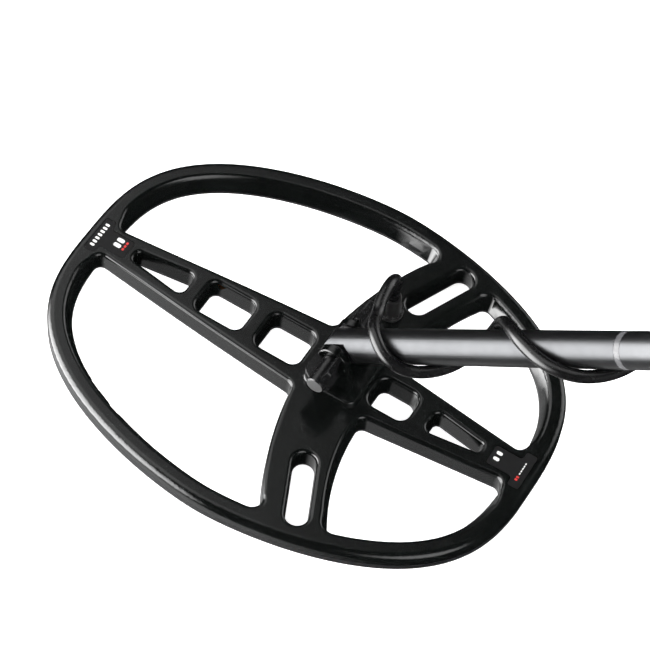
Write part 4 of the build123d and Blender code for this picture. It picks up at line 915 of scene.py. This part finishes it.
@dataclass
class SearchCoil(Assembly):
    """The open oval coil with its wear cover, windings, label plates and gland."""

    half_length: float = 140.0
    half_width: float = 108.0
    end_power: float = 1.71
    side_power: float = 3.0
    top: float = 12.7
    lean_from: float = 4.6
    label_top: float = 12.58
    centre_x: float = -21.0
    rim_lean: float = 3.0
    arm_lean: float = 2.2
    spine_lean: float = 0.6
    rim_width: tuple[float, float] = (17.0, 26.0)
    arm_root: tuple[float, float] = (22.0, 34.0)
    hub_edge: tuple[float, float] = (12.0, 24.0)
    hub_end: tuple[float, float] = (98.0, 112.0)
    window_span: tuple[float, float] = (50.0, 215.0)
    top_edge: float = 1.5
    upright: float = 0.9995
    gland: Point = (4.0, 46.0, 16.2)

    def build(self) -> None:
        """Builds the coil's pieces."""
        p = PALETTE
        self.keep(skin(self.frame, "coil_shell", p.coil, 0.35, 24, self.lean_windows), "coil")
        self.wear("coil", {"skid_cover": (p.skid, 0.2)}, 28)
        self.wear("coil", {"coil_floor": (p.strip, 0), "transmit_winding": (p.copper, 0.3)})
        self.wear("coil", {"receive_winding": (p.copper, 0.3), "label_plates": (p.label, 0.08)})
        self.wear("coil", {"cable_gland": (p.boot, 0.3)})
        self.build_print()
        self.build_gland_ribs()

    def lean_at(self, x: float, y: float, facing: float) -> float:
        """Gives how far a window's wall leans back at the top.

        Args:
            x: Place along the coil from its middle in mm.
            y: Place across it in mm.
            facing: How far the wall faces the heel, from -1 to 1.

        Returns:
            The lean in mm.
        """
        u, v = abs(x) / self.half_length, abs(y) / self.half_width
        inside = 1 - u**self.end_power - v**self.side_power
        slope = math.hypot(
            self.end_power / self.half_length * u ** (self.end_power - 1),
            self.side_power / self.half_width * v ** (self.side_power - 1),
        )
        on_rim = 1 - ease(inside / max(slope, 1e-6), *self.rim_width)
        on_arm = ease(abs(y), *self.arm_root) * ease(facing, -0.2, 0.5)
        rail = self.spine_lean + (self.arm_lean - self.spine_lean) * on_arm
        free = max(ease(abs(y), *self.hub_edge), 1 - ease(abs(x), *self.hub_end))
        return (rail + (self.rim_lean - rail) * on_rim) * free

    def lean_windows(self, shape: bmesh.types.BMesh) -> None:
        """Leans the walls of the four large windows back, so that the rim and the arms narrow upwards.

        Args:
            shape: The housing's mesh, whose vertices are moved.
        """
        shape.normal_update()
        steep = {f for f in shape.faces if abs(f.normal.z) < self.upright}
        shortest, longest = self.window_span
        moves = []
        while steep:
            group = self.grow_group(steep)
            spots = {v for f in group for v in f.verts}
            wide = max(v.co.x for v in spots) - min(v.co.x for v in spots)
            deep = max(v.co.y for v in spots) - min(v.co.y for v in spots)
            if shortest < max(wide, deep) / MM < longest:
                moves += [(spot, self.lean_back(spot, group)) for spot in spots]
        for spot, move in moves:
            spot.co += move

    def lean_back(self, spot: bmesh.types.BMVert, wall: set[bmesh.types.BMFace]) -> Vector:
        """Gives how far one vertex of a window's wall goes back, further the higher it stands.

        Args:
            spot: The vertex.
            wall: The faces of the window's wall.

        Returns:
            Its move in metres.
        """
        out = Vector((0.0, 0.0))
        for face in spot.link_faces:
            if face in wall:
                out += face.normal.xy * face.calc_area()
        if out.length < 1e-12:
            return Vector((0.0, 0.0, 0.0))
        x, y, z = spot.co / MM
        height = self.top - self.top_edge - self.lean_from
        rise = min(1.0, max(0.0, (z - self.lean_from) / height))
        out.normalize()
        return out.to_3d() * -self.lean_at(x - self.centre_x, y, out.x) * rise * MM

    def grow_group(self, faces: set[bmesh.types.BMFace]) -> set[bmesh.types.BMFace]:
        """Takes one group of faces that meet at their edges out of a set.

        Args:
            faces: The faces to choose from; those taken are removed.

        Returns:
            The faces taken.
        """
        first = faces.pop()
        group, edge = {first}, [first]
        while edge:
            for side in edge.pop().edges:
                for near in side.link_faces:
                    if near in faces:
                        faces.remove(near)
                        group.add(near)
                        edge.append(near)
        return group

    def build_print(self) -> None:
        """Adds plain bars in place of print, on the rim part and the spine part of each label."""
        p = PALETTE
        up = self.label_top + 0.02
        rows = [
            ("toe_label_dashes", p.print_white, -132.2, 0.0, 7, 2.5, (2.7, 1.5)),
            ("toe_label_bars", p.print_white, -120.6, 1.4, 2, 3.6, (4.6, 2.6)),
            ("toe_label_strokes", p.print_red, -116.6, 1.2, 3, 2.2, (1.3, 1.7)),
            ("heel_label_bars", p.print_white, 117.0, 0.5, 2, 3.8, (3.4, 2.0)),
            ("heel_label_mark", p.print_red, 131.6, -5.6, 2, 1.7, (1.7, 1.2)),
            ("heel_label_dashes", p.print_white, 131.6, 1.0, 5, 1.7, (0.7, 1.2)),
        ]
        for name, finish, x, y, count, pitch, (long, wide) in rows:
            place = Matrix.Translation(Vector((self.centre_x + x, y, up)) * MM)
            self.keep(bars_in_row(name, finish, place, count, pitch, (long, wide, 0.08)), "coil")

    def build_gland_ribs(self) -> None:
        """Adds the flex ribs round the gland's boot."""
        place = Matrix.Translation(Vector(self.gland) * MM) @ Matrix.Rotation(QUARTER_TURN, 4, "Y")
        self.keep(ring_of_ribs("gland_ribs", PALETTE.rubber, place, 6.3, 14, (1.2, 2.2, 0.5)), "coil")


@dataclass
class TiltJoint(Assembly):
    """The bolt, winged nut and washers that the coil tilts on."""

    nut_end: Point = (0.0, -29.55, 36.0)

    def build(self) -> None:
        """Builds the joint's pieces."""
        p = PALETTE
        self.wear("coil", {"tilt_bolt": (p.fastener, 0.35), "tilt_washers": (p.rubber, 0.3)})
        self.wear("nut", {"wing_nut": (p.fastener, 0.35)})
        place = Matrix.Translation(Vector(self.nut_end) * MM) @ Matrix.Rotation(QUARTER_TURN, 4, "X")
        self.keep(domed_disc("nut_end_disc", p.disc, place, 4.5, 0.35), "nut")


# ---------------------------------------------------------------- stem and cable


@dataclass
class LowerStem(Assembly):
    """The stem that the coil hangs on and slides into the shaft."""

    def build(self) -> None:
        """Builds the stem's pieces."""
        p = PALETTE
        self.wear("lower_stem", {"stem_end": (p.stem, 0.3), "stem_ring": (p.ring, 0.12)})
        self.wear("lower_stem", {"lower_tube": (p.tube, 0.15), "stem_guide": (p.bush, 0.3)})
        self.wear("lower_stem", {"lower_cable_clip": (p.collar, 0.35)})


@dataclass
class CableRun(Assembly):
    """The coil's cable, in one smooth line from the gland to its plug."""

    radius: float = 3.3
    gap: float = 0.25
    stem_radius: float = 9.2
    shaft_radius: float = 11.2
    collar_reach: float = 18.2
    lower_end: float = 226.0
    upper_end: float = 612.0
    pitch: float = 108.0
    plug_reach: float = 24.5
    gland: Point = (4.0, 46.0, 27.7)

    def around(self, s: float, turn: float, radius: float) -> Vector:
        """Gives a place beside the stem, from mm up it, degrees round it from +y and mm from its axis."""
        a = math.radians(turn)
        return on_stem(s, radius * math.cos(a), radius * math.sin(a))

    def turns(self, s0: float, turn0: float, s1: float, turn1: float, radius: float) -> list[Vector]:
        """Gives the control points of a wrap round the stem.

        Args:
            s0: Where it starts, in mm up the stem.
            turn0: Its starting angle in degrees.
            s1: Where it ends.
            turn1: Its last angle.
            radius: The cable's distance from the stem's axis in mm.

        Returns:
            The points.
        """
        count = max(2, round((turn1 - turn0) / 45.0))
        corner = radius / math.cos(math.radians((turn1 - turn0) / count / 2))
        steps = [k / count for k in range(count + 1)]
        return [self.around(s0 + (s1 - s0) * f, turn0 + (turn1 - turn0) * f, corner) for f in steps]

    def route(self) -> tuple[list[Vector], list[int]]:
        """Lays out the whole cable.

        Returns:
            Its control points, and the last point of each of its first three pieces.
        """
        lower = self.stem_radius + self.radius + self.gap
        upper = self.shaft_radius + self.radius + self.gap
        over = self.collar_reach + self.radius + 0.6
        gx, gy, gz = self.gland
        free = [(0, 0, -3), (0, 0, 8), (1.5, -2.5, 22), (2.5, -13, 32.5), (4, -26, 33.5)]
        points = [Vector((gx + x, gy + y, gz + z)) * MM for x, y, z in free]
        points += [self.around(24.5, 45, lower + 3.2), self.around(30.5, 84, lower + 1.4)]
        climb = [(37.0, 122), (43.5, 165), (51.0, 210), (64.5, 254), (79.0, 300), (94.0, 348), (108.5, 396)]
        points += [self.around(s, turn, lower + 1.0) for s, turn in climb]
        clip_turn = 441 + 360 * (self.lower_end - 122.3) / self.pitch
        points += self.turns(122.3, 441, self.lower_end, clip_turn, lower)
        lower_cut = len(points) - 1
        top = 90 + 360 * 4
        points += self.turns(self.lower_end + 16, clip_turn + 45, 384.0, top, lower + 2.0)
        travel_cut = len(points)
        passing = [(397, 0, over + 1.2), (411, 0, over), (425, 0, over + 0.2), (440, 8, upper + 2.8)]
        points += [self.around(s, top + turn, reach) for s, turn, reach in passing]
        points += self.turns(455, top + 42, self.upper_end - 6, top + 672, upper)
        leaving = [(621, 712, upper + 3), (632, 720, self.plug_reach), (646, 720, self.plug_reach)]
        points += [self.around(s, top + turn, reach) for s, turn, reach in leaving]
        return points, [5, lower_cut, travel_cut]

    def build(self) -> None:
        """Builds the cable's four pieces and its upper clip."""
        points, cuts = self.route()
        names = ["cable_tilt_slack", "cable_lower_wrap", "cable_travel_slack", "cable_upper_wrap"]
        firsts = [1] + [c + 1 for c in cuts]
        lasts = [c + 1 for c in cuts] + [len(points) - 1]
        for name, first, last in zip(names, firsts, lasts):
            start = points[0] if first == 1 else (points[first - 1] + points[first]) / 2
            end = points[-1] if last == len(points) - 1 else (points[last - 1] + points[last]) / 2
            curve = nurbs(f"{name}_path", [start, *points[first:last], end])
            line = line_of(curve)
            piece = tube_along(f"{name}_jacket", curve, self.radius, PALETTE.cable)
            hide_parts(name)
            self.hold(name, piece, start, end)
        self.wear("main_frame", {"upper_cable_clip": (PALETTE.collar, 0.35)})

    def hold(self, name: str, piece: bpy.types.Object, start: Vector, end: Vector) -> None:
        """Lets a wrapped piece of the cable ride on the body that holds it, and leaves a slack piece
        unattached in the row frame.
        """
        if name == "cable_tilt_slack":
            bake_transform(piece)
            self.made.append(piece)
        elif name == "cable_travel_slack":
            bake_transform(piece)
            self.made.append(piece)
        else:
            self.keep(piece, "lower_stem" if name == "cable_lower_wrap" else "main_frame")


@dataclass
class MainShaft(Assembly):
    """The upper shaft with its lock collar, cam lever and end cap."""

    def build(self) -> None:
        """Builds the shaft's pieces."""
        p = PALETTE
        self.wear("main_frame", {"main_shaft": (p.shaft, 0.15), "shaft_bush": (p.bush, 0.1)})
        self.wear("main_frame", {"shaft_end_cap": (p.rubber, 0.3), "lock_collar": (p.collar, 0.4)})
        self.wear("main_frame", {"lever_pin": (p.steel, 0.2)})
        self.wear("lever", {"lock_lever": (p.lever, 0.4)})
        rows = [
            ("end_cap_ribs", p.rubber, 1004, 12.3, 24, (1.4, 9.0, 0.5)),
            ("collar_ribs", p.collar, 423, 15.9, 28, (1.5, 8.0, 0.5)),
        ]
        for name, finish, s, radius, count, rib in rows:
            self.keep(ring_of_ribs(name, finish, stem_matrix(s, 0, 0), radius, count, rib), "main_frame")


# ---------------------------------------------------------------- grip and pod


@dataclass
class PistolGrip(Assembly):
    """The clamshell grip with its sleeve, trigger and sockets."""

    def build(self) -> None:
        """Builds the grip's pieces."""
        p = PALETTE
        self.wear("main_frame", {"grip_left": (p.grip, 0.3), "grip_right": (p.grip, 0.3)})
        self.wear("main_frame", {"grip_sleeve": (p.rubber, 0.25), "grip_screws": (p.steel, 0.1)})
        self.wear("main_frame", {"trigger_pin": (p.steel, 0.1), "coil_socket": (p.connector, 0.2)})
        self.wear("main_frame", {"coil_plug": (p.plug, 0.3), "headphone_socket": (p.plug, 0.2)})
        self.wear("finger_trigger", {"trigger": (p.trigger, 0.3)})
        self.wear("ring", {"plug_ring": (p.connector, 0.2)})


@dataclass
class ControlPod(Assembly):
    """The display pod with its screen, buttons, board and speaker."""

    tilt: float = 42.0
    place: Point = (735.0, 0.0, 183.0)
    screen_y: float = 20.0
    screen_face: float = -2.57

    def local(self, x: float, y: float, z: float) -> Matrix:
        """Gives a place on the pod: x across it, y up its face and z out of it, all in mm."""
        a = math.radians(self.tilt)
        across = Vector((0, 1, 0))
        out = Vector((math.sin(a), 0, math.cos(a)))
        up = out.cross(across)
        turn = Matrix((across, up, out)).transposed().to_4x4()
        return stem_matrix(*self.place) @ turn @ Matrix.Translation(Vector((x, y, z)) * MM)

    def build(self) -> None:
        """Builds the pod's pieces."""
        p = PALETTE
        self.wear("main_frame", {"pod_back": (p.pod, 0.4), "pod_front": (p.pod, 0.3)})
        self.wear("main_frame", {"circuit_board": (p.board, 0.1), "button_mat": (p.silicone, 0.2)})
        self.wear("main_frame", {"speaker": (p.speaker, 0.2), "pod_screws": (p.steel, 0.1)})
        self.wear("main_frame", {"display_lens": (p.lens, 0.15), "lcd_screen": (p.screen, 0.1)})
        for k in range(1, 5):
            self.wear(f"key_{k}", {f"button_{k}": (p.key, 0.25)})
        self.build_screen_marks()

    def build_screen_marks(self) -> None:
        """Adds the display's fixed marks: a scale of target segments and a depth ladder."""
        rows = [
            ("screen_scale", 0, 12, QUARTER_TURN, 12, 4.2, (6.0, 3.0, 0.06)),
            ("screen_ladder", 24, -6, 0.0, 5, 4.0, (7.0, 1.6, 0.06)),
            ("screen_power", -22, -12, QUARTER_TURN, 4, 3.0, (4.0, 2.0, 0.06)),
        ]
        for name, x, y, turn, count, pitch, size in rows:
            place = self.local(x, self.screen_y + y, self.screen_face) @ Matrix.Rotation(turn, 4, "Z")
            self.keep(bars_in_row(name, PALETTE.ink, place, count, pitch, size), "main_frame")


# ---------------------------------------------------------------- battery box and cuff


@dataclass
class BatteryBox(Assembly):
    """The battery box under the shaft, with its door and cells."""

    def build(self) -> None:
        """Builds the box's pieces."""
        p = PALETTE
        self.wear("main_frame", {"battery_box": (p.box, 0.3), "door_pin": (p.steel, 0.1)})
        self.wear("main_frame", {"battery_cells": (p.cell, 0.1), "contact_plates": (p.contact, 0.05)})
        self.wear("main_frame", {"contact_springs": (p.contact, 0)})
        self.wear("door", {"battery_door": (p.box, 0.3)})


@dataclass
class ArmCuff(Assembly):
    """The forearm cradle with its padded lining, on a clamp that slides on the shaft."""

    start: float = 925.0
    length: float = 76.0
    radius: float = 50.0
    pad: float = 4.0
    spread: float = 148.0
    centre: float = 72.0
    channels: int = 7
    margin: float = 3.0
    glue_gap: float = 0.15

    def build(self) -> None:
        """Builds the cuff's pieces."""
        p = PALETTE
        self.wear("cuff", {"arm_cuff": (p.cuff, 0.5), "cuff_clamp": (p.cuff, 0.4)})
        self.wear("cuff", {"cuff_screws": (p.steel, 0.1)})
        self.wear("cuff_lock", {"cuff_knob": (p.fastener, 0.3)})
        self.build_pad()

    def at(self, along: float, turn: float, radius: float) -> Vector:
        """Gives a place in the cradle, from mm along it, radians from its bottom and mm from its axis."""
        y, z = radius * math.sin(turn), self.centre - radius * math.cos(turn)
        return on_stem(self.start + along, y, z)

    def crown(self, u: float, v: float) -> float:
        """Gives the padding's share of its full thickness, thin at its hems and at its sewn channels.

        Args:
            u: 0 to 1 round the cradle.
            v: 0 to 1 along it.

        Returns:
            A share from 0 to 1.
        """
        edge = min(u * 22, (1 - u) * 22, v * 9, (1 - v) * 9, 1.0)
        hem = math.sqrt(max(0.0, 1 - (1 - edge) ** 2))
        channel = abs(math.sin(math.pi * self.channels * u)) ** 0.35
        return 0.3 + 0.7 * hem * (0.45 + 0.55 * channel)

    def build_pad(self) -> None:
        """Builds the lining as a closed, quilted pad, with its hem stitches."""
        around, along = 140, 44
        mesh = bpy.data.meshes.new("cuff_lining")
        shape = bmesh.new()
        uv = shape.loops.layers.uv.new("surface")
        layers = []
        for face in range(2):
            rows = []
            for i in range(around + 1):
                row = []
                for j in range(along + 1):
                    u, v = i / around, j / along
                    thick = self.glue_gap if face else self.pad * self.crown(u, v)
                    row.append(shape.verts.new(self.on_pad(u, v, thick)))
                rows.append(row)
            layers.append(rows)
        for face, rows in enumerate(layers):
            for i in range(around):
                for j in range(along):
                    corner = [(i, j), (i + 1, j), (i + 1, j + 1), (i, j + 1)]
                    corner = corner[::-1] if face else corner
                    made = shape.faces.new([rows[a][b] for a, b in corner])
                    for loop, (a, b) in zip(made.loops, corner):
                        loop[uv].uv = (a / around * 0.19, b / along * 0.07)
        border = [(i, 0) for i in range(around)] + [(around, j) for j in range(along)]
        border += [(i, along) for i in range(around, 0, -1)] + [(0, j) for j in range(along, 0, -1)]
        for (a, b), (c, d) in zip(border, border[1:] + border[:1]):
            shape.faces.new([layers[0][a][b], layers[1][a][b], layers[1][c][d], layers[0][c][d]])
        close_shape(shape, mesh)
        crease(mesh, 60)
        lining = new_object("cuff_lining", mesh, PALETTE.pad)
        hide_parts("cuff_pad")
        self.keep(lining, "cuff")
        self.build_stitches()

    def on_pad(self, u: float, v: float, thick: float) -> Vector:
        """Gives a place on the lining.

        Args:
            u: 0 to 1 round the cradle.
            v: 0 to 1 along it.
            thick: The lining's thickness there in mm.

        Returns:
            The place in the row frame.
        """
        half = math.radians((360 - self.spread) / 2)
        inner_length = self.length - 2 * self.margin
        return self.at(self.margin + inner_length * v, half * (2 * u - 1), self.radius - thick)

    def build_stitches(self) -> None:
        """Runs a line of stitches along each hem of the lining."""
        steps, inset, sunk = 80, 0.03, 0.1
        sizes = {"Pitch": ("Float", 0.0032), "Stitch": ("Vector", (0.0005, 0.0005, 0.0024))}
        for number, share in enumerate((0.055, 0.945), start=1):
            spots = []
            for i in range(steps + 1):
                u = inset + (1 - 2 * inset) * i / steps
                spots.append(self.on_pad(u, share, self.pad * self.crown(u, share) - sunk))
            name = f"hem_stitches_{number}"
            tree = Tree(name, sizes, PALETTE.thread)
            wires = {0: tree.size("Geometry"), "Length": tree.size("Pitch")}
            spaced = tree.add("CurveToPoints", wires, mode="LENGTH")
            bead = tree.add("MeshUVSphere", {"Segments": 6, "Rings": 5, "Radius": 0.5})
            stitch = tree.add("Transform", {0: bead.outputs[0], "Scale": tree.size("Stitch")})
            turned = spaced.outputs["Rotation"]
            wires = {0: spaced.outputs[0], "Instance": stitch.outputs[0], "Rotation": turned}
            sewn = tree.add("InstanceOnPoints", wires)
            curve = nurbs(f"hem_line_{number}", spots)
            self.keep(tree.run(name, sewn.outputs[0], Matrix.Identity(4), curve), "cuff")


# ---------------------------------------------------------------- studio


@dataclass(frozen=True)
class Glow:
    """One soft patch of light far away: which way it lies, its half-widths in degrees and its strength."""

    towards: Point
    inner: float
    outer: float
    strength: float


@dataclass
class Studio:
    """The backdrop, the light and the camera."""

    eye: Point = (0.26695, -0.61140, 1.09568)
    right: Point = (0.85217, 0.51789, 0.07484)
    up: Point = (-0.47291, 0.70103, 0.53377)
    back: Point = (0.22397, -0.49025, 0.84231)
    lens: float = 132.92
    floor_radius: float = 14.0
    wall_radius: float = 6.0
    floor_glow: float = 0.86
    dim: float = 0.006
    glows: tuple[Glow, ...] = (
        Glow((-0.80, -0.58, 0.0), 16.0, 46.0, 15.0),
        Glow((-0.66, 0.02, 0.75), 18.0, 42.0, 1.7),
        Glow((-0.50, -0.20, -0.84), 14.0, 48.0, 0.8),
        Glow((0.75, -0.55, 0.35), 8.0, 30.0, 3.0),
        Glow((0.40, 0.85, 0.30), 8.0, 34.0, 2.0),
    )

    def build(self) -> None:
        """Sets up the whole studio."""
        self.build_backdrop()
        self.build_world()
        self.build_camera()
        view = bpy.context.scene.view_settings
        view.view_transform = "Standard"
        view.look = "None"

    def build_backdrop(self) -> None:
        """Lays the pale floor, which curves up into a wall all round."""
        mesh = bpy.data.meshes.new("studio_floor")
        shape = bmesh.new()
        steps = 10
        outline = [(self.floor_radius, 0.0)]
        for k in range(1, steps + 1):
            a = QUARTER_TURN * k / steps
            reach = self.floor_radius + self.wall_radius * math.sin(a)
            outline.append((reach, self.wall_radius * (1 - math.cos(a))))
        outline.append((self.floor_radius + self.wall_radius, 4 * self.wall_radius))
        shape.faces.new(lathe(shape, outline, 96)[0])
        close_shape(shape, mesh)
        mesh.shade_smooth()
        floor = linked("studio_floor", mesh)
        floor.visible_glossy = False
        shader = Shader("studio_floor")
        shader.set(Base_Color=(0.9, 0.9, 0.9, 1), Roughness=0.9, Specular_IOR_Level=0.0)
        shader.set(Emission_Color=(1, 1, 1, 1), Emission_Strength=self.floor_glow)
        mesh.materials.append(shader.material)

    def build_world(self) -> None:
        """Surrounds the scene with dim light and its soft, bright patches."""
        world = bpy.data.worlds.new("studio_world")
        bpy.context.scene.world = world
        world.use_nodes = True
        nodes, links = world.node_tree.nodes, world.node_tree.links
        towards = nodes.new("ShaderNodeTexCoord").outputs["Generated"]
        total = None
        for glow in self.glows:
            dot = nodes.new("ShaderNodeVectorMath")
            dot.operation = "DOT_PRODUCT"
            dot.inputs[1].default_value = Vector(glow.towards).normalized()
            links.new(towards, dot.inputs[0])
            fade = nodes.new("ShaderNodeMapRange")
            fade.interpolation_type = "SMOOTHSTEP"
            fade.inputs["From Min"].default_value = math.cos(math.radians(glow.outer))
            fade.inputs["From Max"].default_value = math.cos(math.radians(glow.inner))
            fade.inputs["To Max"].default_value = glow.strength
            links.new(dot.outputs["Value"], fade.inputs["Value"])
            gather = nodes.new("ShaderNodeMath")
            gather.operation = "ADD"
            gather.inputs[1].default_value = self.dim
            links.new(fade.outputs["Result"], gather.inputs[0])
            if total is not None:
                links.new(total, gather.inputs[1])
            total = gather.outputs[0]
        links.new(total, nodes["Background"].inputs["Strength"])
        nodes["Background"].inputs["Color"].default_value = (1.0, 1.0, 1.0, 1)

    def build_camera(self) -> None:
        """Stands the camera at its viewing angle."""
        lens = bpy.data.cameras.new("camera")
        lens.lens = self.lens
        lens.sensor_width = 36.0
        lens.clip_start = 0.05
        lens.clip_end = 40.0
        holder = linked("camera", lens)
        turn = Matrix((self.right, self.up, self.back)).transposed().to_4x4()
        holder.matrix_world = Matrix.Translation(self.eye) @ turn
        bpy.context.scene.camera = holder


def main() -> None:
    """Builds the detector and its studio, and reports each piece."""
    logging.basicConfig(level=logging.INFO, format="%(name)s %(message)s", stream=sys.stdout)
    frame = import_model()
    Studio().build()
    makers: list[Callable[[dict], Assembly]] = [
        SearchCoil, TiltJoint, LowerStem, CableRun, MainShaft, PistolGrip, ControlPod, BatteryBox, ArmCuff,
    ]
    for maker in makers:
        assembly = maker(frame)
        assembly.build()
        assembly.report()


if __name__ == "__main__":
    main()
